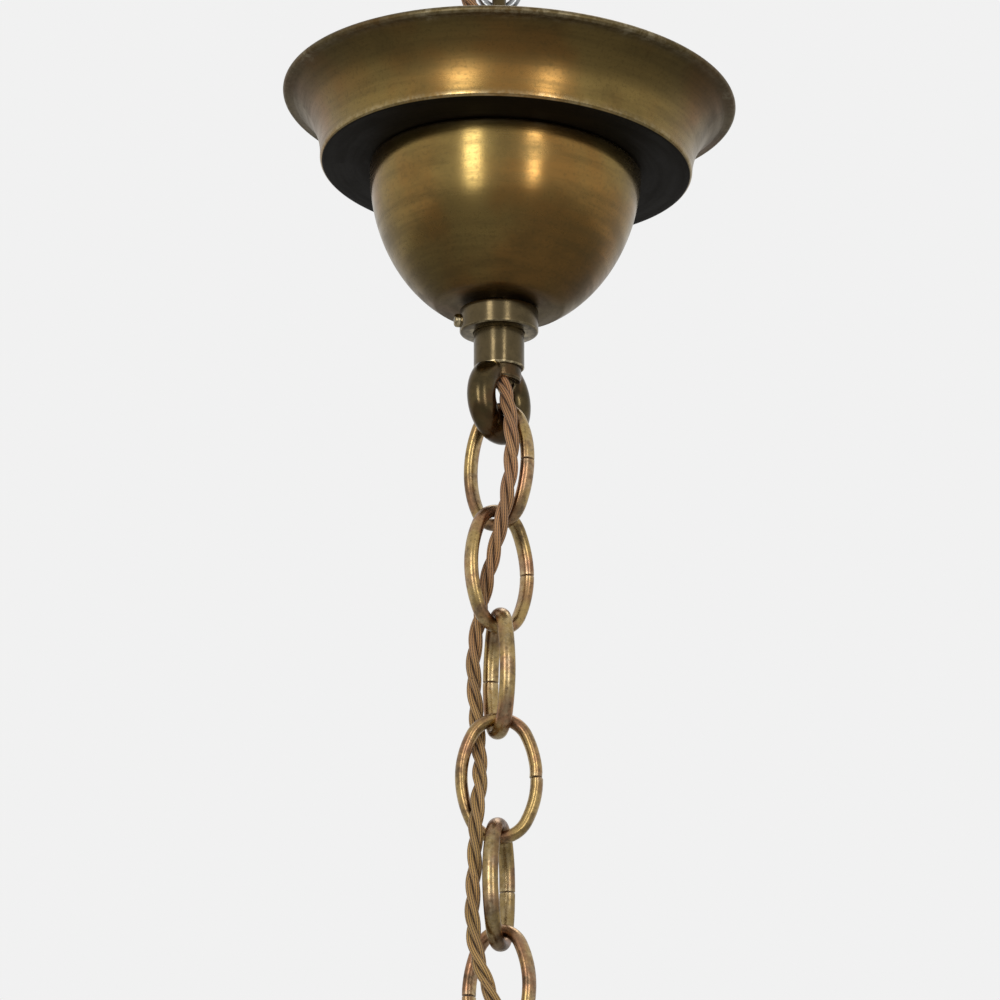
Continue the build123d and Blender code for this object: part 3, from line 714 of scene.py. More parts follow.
class SUSPENSION_OT_canopy_pan(bpy.types.Operator):
    """Model the flared pan with its beaded rim"""

    bl_idname = "suspension.canopy_pan"
    bl_label = "Canopy pan"

    def execute(self, context):
        size = sizes("canopy")
        bead = size.rim_bead / 2
        hole = size.cup_radius - size.sheet / 2 - size.cup_flange
        corner = (size.pan_radius - size.pan_round, size.cup_height + size.pan_round)
        hollow = (size.pan_radius + size.pan_flare, corner[1])
        rim_x = size.pan_rim - bead
        rim_y = corner[1] + sqrt(size.pan_flare ** 2 - (hollow[0] - rim_x) ** 2)
        end = degrees(atan2(rim_y - hollow[1], rim_x - hollow[0]))
        outline = [(hole, size.cup_height), (size.cup_radius, size.cup_height)]
        outline += arc(corner, size.pan_round, -90, 0, 7)
        outline += arc(hollow, size.pan_flare, 180, end + 5, 28)[1:]
        # The bead rolls round from the sheet's outer side to its inner side
        outline += arc((rim_x, rim_y), bead, end + 150, end + 400, 18)
        outline += arc(hollow, size.pan_flare + size.sheet, end + 3, 180, 20)
        outline += arc(corner, size.pan_round - size.sheet, 0, -90, 3)[1:]
        outline += [(size.cup_radius, size.cup_height + size.sheet), (hole, size.cup_height + size.sheet)]
        pan = turned("canopy_pan_spun", outline, 192)
        # Painted shade under the floor, half as much inside, and more and more up the flare
        places = places_of(pan)
        out = np.hypot(places[:, 0], places[:, 1])
        up = places[:, 2] - size.cup_height
        under = (up < 0.3 * MM) & (out < size.pan_radius - 0.6 * MM)
        inside = (up > size.sheet * 0.7) & (out < size.pan_radius - size.sheet * 0.7)
        climb = np.clip(up / (rim_y - size.cup_height), 0, 1)
        store(pan, "shade", np.where(under, 1.0, np.where(inside, 0.5, 0.05 + 0.60 * climb)))
        # Rubbed along the bead, most where it is chipped, and at the flare's foot, with a painted highlight
        # along the bead's front
        lip = bell(out, rim_x, 1.5 * bead) * bell(up, rim_y - size.cup_height, 1.5 * bead)
        foot = bell(up, 0.9 * MM, 1.1 * MM) * (out > size.pan_radius - 1.4 * MM)
        turn = np.degrees(np.arctan2(places[:, 0], -places[:, 1]))
        chips = sum(bell(turn, chip, CHIP_WIDTH) for chip in RIM_CHIPS)
        front_highlight = bell(turn, RIM_HIGHLIGHT, HIGHLIGHT_WIDTH)
        store(pan, "rubbed", np.clip((0.45 + 0.45 * front_highlight + 2.0 * chips) * lip + 0.30 * foot, 0, 1))
        stand(pan, canopy_frame())
        metal = canopy_metal("canopy bronze", canopy_frame().inverted(), (0.21, 0.38))
        dress(pan, metal, "canopy", "canopy_pan")
        return {"FINISHED"}


class SUSPENSION_OT_canopy_cup(bpy.types.Operator):
    """Model the deep cup under the pan"""

    bl_idname = "suspension.canopy_cup"
    bl_label = "Canopy cup"

    def execute(self, context):
        size = sizes("canopy")
        foot = asin(size.cup_height / size.cup_bulge)
        inner_foot = asin((size.cup_height - size.sheet) / (size.cup_bulge - size.sheet))
        brow = 1.2 * MM
        outline = [(size.cup_hole, 0), (size.cup_hole + 6 * MM, 0)]
        for step in range(41):
            turn = foot * (1 - step / 40)
            height = size.cup_height - size.cup_bulge * sin(turn)
            if height < size.cup_height - brow:
                outline.append((size.cup_radius * cos(turn), height))
        outline += arc((size.cup_radius - brow, size.cup_height - brow), brow, 10, 90, 5)
        outline += [(size.cup_radius - size.cup_flange, size.cup_height)]
        outline += [(size.cup_radius - size.cup_flange, size.cup_height - size.sheet)]
        for step in range(31):
            turn = inner_foot * (step / 30)
            height = size.cup_height - (size.cup_bulge - size.sheet) * sin(turn)
            if height < size.cup_height - size.sheet:
                outline.append(((size.cup_radius - size.sheet) * cos(turn), height))
        outline += [(size.cup_hole, size.sheet)]
        cup = turned("canopy_cup_spun", outline, 192)
        # Painted shade inside and towards the foot, and the top's edge rubbed and brightened further by a
        # painted highlight
        places = places_of(cup)
        out = np.hypot(places[:, 0], places[:, 1])
        up = places[:, 2]
        oval = np.hypot(out / size.cup_radius, (size.cup_height - up) / size.cup_bulge)
        inside = (oval < 0.992) & (up > 0.6 * MM)
        near_foot = np.clip(1 - up / (34 * MM), 0, 1) ** 1.4
        store(cup, "shade", np.where(inside, 0.5, 0.06 + 0.45 * near_foot))
        # The top's edge is rubbed, with a painted highlight added on it, both stored with the rubbed edges
        top = bell(up, size.cup_height - 0.5 * MM, 0.8 * MM) * (out > size.cup_radius - 1.5 * MM)
        store(cup, "rubbed", np.clip(0.7 * top, 0, 1))
        stand(cup, canopy_frame())
        metal = canopy_metal("cup bronze", canopy_frame().inverted(), (0.19, 0.36))
        dress(cup, metal, "canopy", "canopy_cup")
        return {"FINISHED"}


# Stem

def turned_bronze():
    """Greyish turned bronze of the collar and the neck."""
    finish = sizes("finishes")
    return aged_metal(
        "turned bronze", finish.turned, finish.turned_dark,
        rubbed=finish.bronze_rub_and_highlight, lathe=0.9,
        clouds=(80.0, 0.42, 0.85), specks=(900.0, 0.30), polish=(0.22, 0.36), dents=0.02,
    )


def rounded(radius, height, top, edge, steps=4):
    """Outline of the outer side of a turned disc with rounded edges, from its foot up."""
    points = arc((radius - edge, height + edge), edge, -90, 0, steps)
    return points + arc((radius - edge, top - edge), edge, 0, 90, steps)


class SUSPENSION_OT_collar(bpy.types.Operator):
    """Model the slip collar and its slotted set screw"""

    bl_idname = "suspension.collar"
    bl_label = "Slip collar and screw"

    def execute(self, context):
        size = sizes("stem")
        top = -size.shoulder + size.collar_seat
        foot = top - size.collar_height
        bore = size.sleeve_diameter / 2 + 0.05 * MM
        wide = size.collar_diameter / 2
        edge = 0.7 * MM
        sides = rounded(wide, foot, top, edge)
        ring = [(wide, foot + 2 * edge), (wide, top - 2 * edge)]
        outline = [(bore + 0.3 * MM, foot)] + sides[: len(sides) // 2] + ring + sides[len(sides) // 2:]
        outline += [(bore + 0.3 * MM, top), (bore, top - 0.3 * MM), (bore, foot + 0.3 * MM)]
        collar = turned("slip_collar_turned", outline, 128)
        rub_edges(collar, 1, 3.0, 0.12)
        dress(collar, turned_bronze(), "collar", "slip_collar")

        shank = size.screw_diameter / 2
        reach = size.collar_diameter / 2 - size.sleeve_diameter / 2
        head = size.screw_head / 2
        rise = size.screw_head_height
        outline = [(shank - 0.2 * MM, 0.05 * MM), (shank, 0.25 * MM), (shank, reach), (head, reach)]
        outline += arc((head - rise * 0.6, reach + rise * 0.4), rise * 0.6, 0, 90, 5)
        outline = filled(outline + [(head * 0.3, reach + rise)], 0.1 * MM)
        screw = turned("collar_screw_turned", outline, 48, closed=False)
        deselect()
        wide = (head * 3, size.screw_slot, size.screw_slot_depth * 2)
        bpy.ops.mesh.primitive_cube_add(size=1, location=(0, 0, reach + rise), scale=wide)
        combine(screw, settle(context.object))
        out = Vector((cos(size.screw_turn), sin(size.screw_turn), 0))
        middle = out * size.sleeve_diameter / 2 + Vector((0, 0, (top + foot) / 2))
        # The slot stands a little off upright
        tilt = Vector((0.35, 0, 1)).normalized()
        side = (tilt - out * tilt.dot(out)).normalized()
        stand(screw, axes(middle, side, out.cross(side), out))
        rub_edges(screw, 1, 4.0)
        dress(screw, turned_bronze(), "set_screw", "collar_screw")
        return {"FINISHED"}


class SUSPENSION_OT_stem(bpy.types.Operator):
    """Model the sleeve with its washer and nut"""

    bl_idname = "suspension.stem"
    bl_label = "Sleeve, washer and nut"

    def execute(self, context):
        size = sizes("stem")
        foot = -size.shoulder
        top = foot + size.sleeve_length
        wide = size.sleeve_diameter / 2
        edge = 0.35 * MM
        outline = [(wide - size.sleeve_wall, foot), (wide - edge, foot), (wide, foot + edge)]
        outline += [(wide, foot + 2 * edge), (wide, top - 2 * edge)]
        outline += [(wide, top - edge), (wide - edge, top), (wide - size.sleeve_wall, top)]
        sleeve = turned("stem_sleeve_drawn", outline, 128)
        # A painted highlight along the lower edge, stored as rubbed
        places = places_of(sleeve)
        store(sleeve, "rubbed", np.where(np.abs(places[:, 2] - foot) < 0.4 * MM, 0.9, 0.0))
        dress(sleeve, turned_bronze(), "stem", "stem_sleeve")

        wide = size.washer_diameter / 2
        bore = size.tube_diameter / 2 + 0.05 * MM
        outline = [(bore, top)] + rounded(wide, top, top + size.washer_height, 0.3 * MM, 3)
        outline += [(bore, top + size.washer_height)]
        washer = turned("sleeve_washer_stamped", outline, 96)
        rub_edges(washer, 1, 3.0)
        dress(washer, turned_bronze(), "stem", "sleeve_washer")

        low = top + size.washer_height
        high = low + size.nut_height
        flat = size.nut_width / 2
        corner = flat / cos(radians(30))
        deselect()
        bpy.ops.mesh.primitive_cylinder_add(
            vertices=6, radius=corner, depth=size.nut_height, location=(0, 0, (low + high) / 2)
        )
        nut = settle(context.object)
        dome = [(flat + 0.2 * MM, low - MM), (flat + 1.3 * MM, low + MM), (flat + 1.3 * MM, high - MM)]
        dome = filled(dome + [(flat + 0.2 * MM, high)], 0.2 * MM)
        combine(nut, turned("nut_dome", dome, 96, closed=False), "INTERSECT")
        hole = filled([(bore, low - MM), (bore, high + MM)], 0.2 * MM)
        combine(nut, turned("nut_bore", hole, 64, closed=False))
        soften(nut, 0.15 * MM, 2, 30.0)
        nut = mend(nut, "stem_nut_milled")
        rub_edges(nut, 1, 3.0)
        dress(nut, raw_brass(), "stem", "stem_nut")
        return {"FINISHED"}


def raw_brass():
    """Plain machined brass that has dulled."""
    brass = sizes("finishes").brass
    return aged_metal(
        "dulled brass", brass, dimmed(brass, 0.45),
        clouds=(160.0, 0.4, 0.8), specks=(1800.0, 0.3), polish=(0.25, 0.5),
    )


def cast_bronze():
    """Dark casting with a smooth, slightly uneven skin."""
    finish = sizes("finishes")
    return aged_metal(
        "cast bronze", finish.cast, finish.cast_dark,
        rubbed=finish.bronze_rub_and_highlight, other=finish.cast_warm, tone=90.0,
        clouds=(110.0, 0.40, 0.75), specks=(700.0, 0.35), polish=(0.20, 0.38), dents=0.05,
    )


def flex_channel():
    """A plain tube along the flex that cuts its way through the castings."""
    size = sizes("flex")
    return tube_mesh("flex_channel", flex_centres(1.0 * MM), size.diameter / 2 + size.clearance, 24)


# How finely the castings' skin is rebuilt before it is smoothed
GRAIN = 0.28 * MM


def casting(name, ring, bosses):
    """A ring and its bosses fused, cut for the flex, and softened as a casting is.

    ring is (turn, height, radius, wire), and each boss an outline for a turned solid, with True
    where it is a hole.
    """
    turn, height, radius, wire = ring
    deselect()
    bpy.ops.mesh.primitive_torus_add(
        major_radius=radius, minor_radius=wire / 2, major_segments=120, minor_segments=48
    )
    piece = stand(bpy.context.object, upright(turn, height))
    for outline, is_hole in bosses:
        tool = turned(name + "_tool", outline, 96, closed=False)
        combine(piece, tool, "DIFFERENCE" if is_hole else "UNION")
    combine(piece, flex_channel())
    apply_modifier(piece, "REMESH", mode="VOXEL", voxel_size=GRAIN, adaptivity=0.0)
    apply_modifier(piece, "SMOOTH", factor=0.5, iterations=7)
    return mend(piece, name, 80.0)


class SUSPENSION_OT_castings(bpy.types.Operator):
    """Model the top eye and the two rings that carry the chain"""

    bl_idname = "suspension.castings"
    bl_label = "Cast eye and rings"

    def execute(self, context):
        size = sizes("stem")

        foot = -size.eye_depth - size.eye_radius + size.mouth_setback - size.eye_boss_height
        top = foot + size.eye_boss_height
        wide = size.eye_boss / 2
        solid = filled(rounded(wide, foot, top, 1.3 * MM))
        tapped = size.tube_diameter / 2
        flex_hole = size.flex_bore / 2
        bore = [(tapped, foot - MM), (tapped, foot + size.eye_entry)]
        bore += [(flex_hole, foot + size.eye_entry + 0.5 * MM), (flex_hole, top + MM)]
        eye = casting(
            "top_eye_cast", (radians(90), -size.eye_depth, size.eye_radius, size.eye_wire),
            [(solid, False), (filled(bore), True)],
        )
        rub_edges(eye, 3, 7.0)
        dress(eye, cast_bronze(), "stem", "top_eye")

        shoulder = -size.shoulder
        middle = shoulder - size.boss_rise - size.ring_radius
        mouth = middle + size.ring_radius - size.ring_wire / 2 + size.mouth_setback
        wide = size.boss_diameter / 2
        spigot = size.sleeve_diameter / 2 - size.sleeve_wall - 0.05 * MM
        solid = filled(rounded(wide, mouth, shoulder, 1.2 * MM))
        # A spigot centres the sleeve, and the ledge round it is shaved clean after the smoothing
        clear = size.sleeve_diameter
        over = shoulder + 9 * MM
        shave = [(spigot, shoulder), (clear, shoulder), (clear, over), (spigot, over)]
        plug = filled([(spigot, shoulder - 2 * MM), (spigot, shoulder + 10 * MM)])
        lip = size.mouth_lip / 2
        bore = [(lip, mouth - 3 * MM), (lip, mouth + 0.3 * MM), (flex_hole, mouth + 2.5 * MM)]
        bore += [(flex_hole, shoulder + 2 * MM), (tapped, shoulder + 2 * MM), (tapped, shoulder + 11 * MM)]
        upper = casting(
            "stem_ring_cast", (size.stem_ring_turn, middle, size.ring_radius, size.ring_wire),
            [(solid, False), (plug, False), (filled(bore), True)],
        )
        combine(upper, turned("ledge", shave, 96))
        rub_edges(upper, 3, 7.0)
        dress(upper, cast_bronze(), "stem", "stem_ring")

        chain = sizes("chain")
        last_foot = -chain.first_middle - 5 * chain.pitch - chain.path_length / 2
        middle = last_foot + (chain.wire_thickness + size.ring_wire) / 2 + 0.3 * MM - size.ring_radius
        shoulder = middle - size.ring_radius - size.boss_rise
        mouth = middle - size.ring_radius + size.ring_wire / 2 - size.mouth_setback
        end = shoulder - size.neck_height
        solid = filled(rounded(wide, shoulder, mouth, 1.2 * MM))
        neck = filled(rounded(size.sleeve_diameter / 2, end, shoulder, 0.8 * MM))
        thread = size.thread_radius
        bore = [(thread, end - MM), (thread, end + size.thread_depth)]
        bore += [(flex_hole, end + size.thread_depth + 0.2 * MM), (flex_hole, mouth - 2.5 * MM)]
        bore += [(lip, mouth - 0.3 * MM), (lip, mouth + 3 * MM)]
        lower = casting(
            "body_ring_cast", (size.body_ring_turn, middle, size.ring_radius, size.ring_wire),
            [(solid, False), (neck, False), (filled(bore), True)],
        )
        rub_edges(lower, 3, 7.0)
        dress(lower, cast_bronze(), "lower_ring", "body_ring")
        return {"FINISHED"}


# Chain

# Degrees that each link is turned about the stem, from the top one down
LINK_TURNS = (-40.0, 42.0, 103.0, 0.0, 77.0, 142.0)

# The link with a lip at its joint, how high and how long the lip is, and the link that has dulled
LIPPED_LINK = 4
LIP_HEIGHT = 0.35 * MM
LIP_LENGTH = 4 * MM
DULL_LINK = 5

# Points round the wire's section
SECTION_POINTS = 28


def link_bronze(number):
    """Old gold of the links, darker on the one that has dulled."""
    finish = sizes("finishes")
    name, gain = ("duller link bronze", 0.72) if number == DULL_LINK else ("link bronze", 1.0)
    return aged_metal(
        name, dimmed(finish.link, gain), finish.link_dark,
        rubbed=finish.link_rub, other=dimmed(finish.link_warm, gain), tone=75.0,
        clouds=(150.0, 0.42, 0.76), specks=(1100.0, 0.50), polish=(0.27, 0.48),
    )


def link_section(thickness, breadth):
    """Oval section of the flattened wire, from its middle line."""
    turns = [2 * pi * step / SECTION_POINTS for step in range(SECTION_POINTS)]
    return [(cos(turn) * thickness / 2, sin(turn) * breadth / 2) for turn in turns]


class SUSPENSION_OT_chain(bpy.types.Operator):
    """Model the six oval links with their butt joints"""

    bl_idname = "suspension.chain"
    bl_label = "Chain links"

    def execute(self, context):
        size = sizes("chain")
        half = size.path_width / 2
        end_y = size.path_length / 2 - size.end_radius
        side_radius = (half ** 2 + end_y ** 2 - size.end_radius ** 2) / (2 * (half - size.end_radius))
        side_x = side_radius - half
        join_at = degrees(atan2(end_y, side_x))
        gap = degrees(size.seam / 2 / side_radius)
        section = [
            (half + out, across) for out, across in link_section(size.wire_thickness, size.wire_breadth)
        ]
        path = [
            ((-side_x, 0), join_at - gap, 8),
            ((0, end_y), 180 - 2 * join_at, 26),
            ((side_x, 0), 2 * join_at, 16),
            ((0, -end_y), 180 - 2 * join_at, 26),
            ((-side_x, 0), join_at - gap, 8),
        ]
        # The wire's section, set back by half the seam, is drawn round all the arcs
        start = Matrix.Translation((-side_x, 0, 0)) @ Matrix.Rotation(radians(gap), 4, "Z")
        start = start @ Matrix.Translation((side_x, 0, 0))
        for number, turn in enumerate(LINK_TURNS, start=1):
            deselect()
            bpy.ops.mesh.primitive_circle_add(vertices=len(section), radius=MM)
            link = context.object
            for vertex, (out, across) in zip(link.data.vertices, section):
                vertex.co = start @ Vector((out, 0, across))
            start_editing()
            for centre, sweep, steps in path:
                bpy.ops.mesh.spin(
                    steps=steps, angle=radians(sweep), center=(*centre, 0), axis=(0, 0, -1),
                    use_auto_merge=False,
                )
            bpy.ops.mesh.select_all(action="SELECT")
            bpy.ops.mesh.fill_holes(sides=0)
            link = finish_editing("chain_link_bent_" + str(number), 50.0)
            # The wire's cut ends have small rounded edges
            soften(link, 0.22 * MM, 2)
            middle = -size.first_middle - size.pitch * (number - 1)
            shape_link(link, number)
            places = places_of(link)
            radial = np.abs(places[:, 2]) / (size.wire_breadth / 2)
            seam = bell(places[:, 1], 0, 1.2 * MM) * (places[:, 0] > 0)
            store(link, "rubbed", np.clip(0.25 * (1 - radial) + 0.25 * seam, 0, 1))
            stand(link, upright(radians(turn), middle))
            node = "chain_link_" + str(number)
            dress(link, link_bronze(number), "link_" + str(number), node)
        return {"FINISHED"}


def shape_link(link, number):
    """Give a link the small unevenness of hand bending: each wire wanders a little."""
    bow, sway = np.random.default_rng(number).uniform(0, 2 * pi, 2)
    for vertex in link.data.vertices:
        turn = atan2(vertex.co.y, vertex.co.x)
        away = abs(vertex.co.x) / (14 * MM)
        vertex.co.z += 0.10 * MM * away * sin(2 * turn + bow)
        vertex.co.x += 0.08 * MM * away * sin(3 * turn + sway)
        if number == LIPPED_LINK and vertex.co.x > 0 and 0 < vertex.co.y < LIP_LENGTH:
            vertex.co.x -= LIP_HEIGHT * (1 - vertex.co.y / LIP_LENGTH) ** 2


# Flex

# Points of the flex's route in millimetres, chosen along the photographed line
FLEX_ROUTE = [
    (-14.5, -2.0, -29.6),
    (-10.5, -3.5, -42.1),
    (0.0, 0.0, -52.6),
    (0.0, 0.0, -67.9),
    (0.0, 0.0, -158.7),
    (0.0, 0.0, -173.6),
    (2.7, -9.5, -184.8),
    (4.6, -12.0, -200.0),
    (3.4, -11.2, -216.0),
    (0.2, -8.2, -231.0),
    (-3.6, -2.3, -244.5),
    (-6.5, 3.2, -257.5),
    (-8.8, 5.6, -271.5),
    (-7.9, 7.0, -286.0),
    (-6.8, 5.7, -300.0),
    (-6.0, -0.9, -314.0),
    (-7.6, -6.2, -328.5),
    (-7.9, -7.6, -344.0),
    (-8.9, -7.4, -359.0),
    (-7.9, -9.4, -374.0),
    (-2.8, -12.0, -388.5),
    (3.1, -10.7, -403.5),
    (0.0, 0.0, -418.4),
    (0.0, 0.0, -431.5),
]


def flex_centres(step):
    """Points along the flex's own smooth line, evenly spaced."""
    drawn = bpy.data.curves.new("flex_line", "CURVE")
    drawn.dimensions = "3D"
    spline = drawn.splines.new("NURBS")
    spline.points.add(len(FLEX_ROUTE) - 1)
    for point, place in zip(spline.points, FLEX_ROUTE):
        point.co = (place[0] * MM, place[1] * MM, place[2] * MM, 1)
    spline.order_u = 3
    spline.use_endpoint_u = True
    spline.resolution_u = 24
    holder = bpy.data.objects.new("flex_line", drawn)
    bpy.context.scene.collection.objects.link(holder)
    bpy.context.view_layer.update()
    line = bpy.data.meshes.new_from_object(holder.evaluated_get(bpy.context.evaluated_depsgraph_get()))
    places = np.array([vertex.co for vertex in line.vertices])
    bpy.data.meshes.remove(line)
    bpy.data.objects.remove(holder)
    bpy.data.curves.remove(drawn)
    runs = np.linalg.norm(np.diff(places, axis=0), axis=1)
    along = np.concatenate(([0], np.cumsum(runs)))
    even = np.linspace(0, along[-1], int(along[-1] / step) + 1)
    return np.column_stack([np.interp(even, along, places[:, axis]) for axis in range(3)])


def carried_frames(points):
    """Directions aside and across at each point of a line, carried along it without a twist."""
    along = np.gradient(points, axis=0)
    along /= np.linalg.norm(along, axis=1)[:, None]
    aside = np.zeros_like(points)
    first = np.array([1.0, 0, 0])
    for index in range(len(points)):
        first = first - along[index] * first.dot(along[index])
        first /= np.linalg.norm(first)
        aside[index] = first
    return aside, np.cross(aside, along)


def tube_mesh(name, points, radius, sides, chart=0.0):
    """A closed tube round a line of points, with a UV map round it and along it from chart on."""
    aside, across = carried_frames(points)
    turns = 2 * pi * np.arange(sides) / sides
    rings = (
        points[:, None, :]
        + radius * np.cos(turns)[None, :, None] * aside[:, None, :]
        + radius * np.sin(turns)[None, :, None] * across[:, None, :]
    ).reshape(-1, 3)
    count = len(points)
    faces = []
    for ring in range(count - 1):
        for side in range(sides):
            after = (side + 1) % sides
            low, high = ring * sides, (ring + 1) * sides
            faces.append((low + side, low + after, high + after, high + side))
    faces.append(tuple(range(sides - 1, -1, -1)))
    faces.append(tuple((count - 1) * sides + side for side in range(sides)))
    mesh = bpy.data.meshes.new(name)
    mesh.from_pydata(rings.tolist(), [], faces)
    chart_layer = mesh.uv_layers.new(name="braid")
    lengths = np.concatenate(([0], np.cumsum(np.linalg.norm(np.diff(points, axis=0), axis=1)))) + chart
    for face in mesh.polygons[: (count - 1) * sides]:
        ring, side = divmod(face.index, sides)
        corners = ((side, ring), (side + 1, ring), (side + 1, ring + 1), (side, ring + 1))
        for loop, (round_it, step) in zip(face.loop_indices, corners):
            chart_layer.data[loop].uv = (round_it / sides, lengths[step])
    mesh.polygons.foreach_set("use_smooth", [True] * len(mesh.polygons))
    piece = bpy.data.objects.new(name, mesh)
    bpy.context.scene.collection.objects.link(piece)
    pick(piece)
    start_editing()
    bpy.ops.mesh.normals_make_consistent(inside=False)
    bpy.ops.object.mode_set(mode="OBJECT")
    return piece


# Turn in radians at which the twist begins, and how bright each core's cotton is
TWIST_START = 2.2
CORE_GAINS = (1.0, 1.12, 0.88)

# Share of the flex's radius below which its surface lies in a groove between the cores, where it is given
# painted shade
GROOVE = 0.72

# Turns of the binding thread, and its radius
WRAPS = 11
THREAD = 0.27 * MM

# Heights in millimetres between which the flex bends from body to body, above the stem and below it
TOP_BEND = (-34.0, -58.0)
CHAIN_BENDS = (
    (-181.0, -205.0), (-208.0, -240.5), (-243.5, -276.5), (-279.5, -312.0), (-315.0, -348.0),
    (-351.0, -383.5), (-387.0, -416.0),
)


def flex_stretches():
    """Each stretch's node, the bodies at its ends, the heights of its ends, and where it bends."""
    stem, chain = sizes("stem"), sizes("chain")
    low = -stem.shoulder + sizes("flex").stem_cut
    high = -stem.shoulder + stem.sleeve_length + stem.washer_height + stem.nut_height
    links = ["link_" + str(number) for number in range(1, len(LINK_TURNS) + 1)]
    bodies = ["stem"] + links + ["lower_ring"]
    cuts = [low] + [-chain.first_middle - chain.pitch * number for number in range(len(links))]
    cuts.append(float("-inf"))
    stretches = [("flex_top", "hanger", "stem", 0.0, high, TOP_BEND)]
    stretches.append(("flex_in_stem", "stem", None, high, low, None))
    for index, bend in enumerate(CHAIN_BENDS):
        name = "flex_" + str(index + 1)
        stretches.append((name, bodies[index], bodies[index + 1], cuts[index], cuts[index + 1], bend))
    return stretches


class SUSPENSION_OT_flex(bpy.types.Operator):
    """Model the three braided cores twisted together, and the binding at their upper end"""

    bl_idname = "suspension.flex"
    bl_label = "Twisted flex"

    def execute(self, context):
        size = sizes("flex")
        step = 0.7 * MM
        centres = flex_centres(step)
        aside, across = carried_frames(centres)
        spacing = np.linalg.norm(centres[1] - centres[0])
        travelled = np.arange(len(centres)) * spacing
        radius = size.diameter / 2
        offset = radius - size.core / 2
        braids = [cotton("braided cotton " + str(core + 1), gain) for core, gain in enumerate(CORE_GAINS)]
        for name, upper, lower, top, foot, bend in flex_stretches():
            inside = np.where((centres[:, 2] <= top + step) & (centres[:, 2] >= foot - step))[0]
            first, last = inside[0], inside[-1]
            picked = slice(first, last + 1)
            strands = []
            for core in range(3):
                turn = 2 * pi * travelled[picked] / size.lay + 2 * pi * core / 3 + TWIST_START
                line = (
                    centres[picked]
                    + offset * np.cos(turn)[:, None] * aside[picked]
                    + offset * np.sin(turn)[:, None] * across[picked]
                )
                strand = tube_mesh(name + "_core", line, size.core / 2, 14, travelled[first])
                # Painted shade on each core where it dips into the groove between the cores
                rings = places_of(strand).reshape(len(line), -1, 3)
                depth = np.linalg.norm(rings - centres[picked][:, None, :], axis=2)
                groove_shade = np.clip((GROOVE * radius - depth) / ((1 - GROOVE) * radius), 0, 1)
                store(strand, "groove", groove_shade.ravel())
                strand.data.materials.append(braids[core])
                strands.append(strand)
            piece = join(name + "_twisted", *strands)
            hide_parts(name)
            if bend:
                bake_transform(piece)
            else:
                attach(piece, upper)

        wound = centres[: int(size.whipping / spacing) + 1]
        spread = np.linspace(0, 1, WRAPS * 20)
        places = spread * (len(wound) - 1)
        spot = np.floor(places).astype(int).clip(0, len(wound) - 2)
        share = (places - spot)[:, None]
        middle = wound[spot] * (1 - share) + wound[spot + 1] * share
        turn = 2 * pi * WRAPS * spread
        reach = radius + 0.25 * MM
        helix = middle + reach * (
            np.cos(turn)[:, None] * aside[spot] + np.sin(turn)[:, None] * across[spot]
        )
        binding = tube_mesh("flex_whipping_wound", helix, THREAD, 8)
        thread = cotton("whipping thread", 0.45, 2.0, 40.0, 1500.0)
        dress(binding, thread, "hanger", "flex_whipping")
        return {"FINISHED"}


# Ceiling fittings

def plated_steel():
    """Dull plated steel of the hook, the strap and the screws."""
    steel = sizes("finishes").steel
    return aged_metal(
        "plated steel", steel, dimmed(steel, 0.35),
        clouds=(140.0, 0.42, 0.75), specks=(1300.0, 0.5), polish=(0.28, 0.6),
    )


def cut_thread(screw, size):
    """Draw the screw's skin in between the turns of a right-handed thread."""
    sink = 1 - size.screw_core / size.screw_diameter
    for vertex in screw.data.vertices:
        above = vertex.co.z - size.plain_shank
        if above > 0:
            turn = atan2(vertex.co.y, vertex.co.x) / (2 * pi)
            phase = (vertex.co.z / size.screw_pitch - turn) % 1
            crest = max(0.0, 1 - abs(phase - 0.5) / 0.3)
            share = 1 - sink * (1 - crest) * min(1.0, above / size.screw_pitch)
            vertex.co.x *= share
            vertex.co.y *= share


class SUSPENSION_OT_hook(bpy.types.Operator):
    """Model the ceiling hook: wood screw, flange, jogged shank and bend"""

    bl_idname = "suspension.hook"
    bl_label = "Ceiling hook"

    def execute(self, context):
        size = sizes("hook")
        wide = size.screw_diameter / 2
        # The screw's point is left this blunt
        tip = 0.5 * MM
        foot = -size.strap - size.flange_height
        outline = [(0.2 * MM, foot)] + rounded(size.flange_diameter / 2, foot, -size.strap, 0.4 * MM, 3)
        outline += [(size.shoulder_diameter / 2, -size.strap), (size.shoulder_diameter / 2, 0), (wide, 0)]
        threaded = size.screw_length - size.plain_shank
        # Rings that lie close enough together to carry the thread
        rings = int(threaded / (0.2 * MM))
        for ring in range(rings + 1):
            height = size.plain_shank + threaded * ring / rings
            taper = min(1.0, (size.screw_length - height) / size.screw_point)
            outline.append((tip + (wide - tip) * taper, height))
        hook = turned("ceiling_hook_bent", outline, 64, closed=False)
        cut_thread(hook, size)

        middle = -size.drop + size.bend_radius
        lean = atan2(size.bend_radius, size.jog_height)
        reach = size.jog_round * tan(lean / 2)
        upper = (-size.jog_round, -size.shank_drop + reach)
        lower = (size.jog_round - size.bend_radius, -size.shank_drop - size.jog_height - reach)
        line = [(0, -size.strap - size.flange_height / 2)]
        line += arc(upper, size.jog_round, 0, -degrees(lean), 8)
        line += arc(lower, size.jog_round, 180 - degrees(lean), 180, 8)
        line += arc((0, middle), size.bend_radius, 180, 360, 40)
        line.append((size.bend_radius, middle + size.tip_rise + size.wire / 2))
        points = np.array([(across, 0, height) for across, height in line])
        shank = tube_mesh("hook_shank", points, size.wire / 2, 24)
        soften(shank, 0.45 * size.wire, 5)
        combine(hook, shank, "UNION")
        dress(hook, plated_steel(), "hanger", "ceiling_hook")
        return {"FINISHED"}


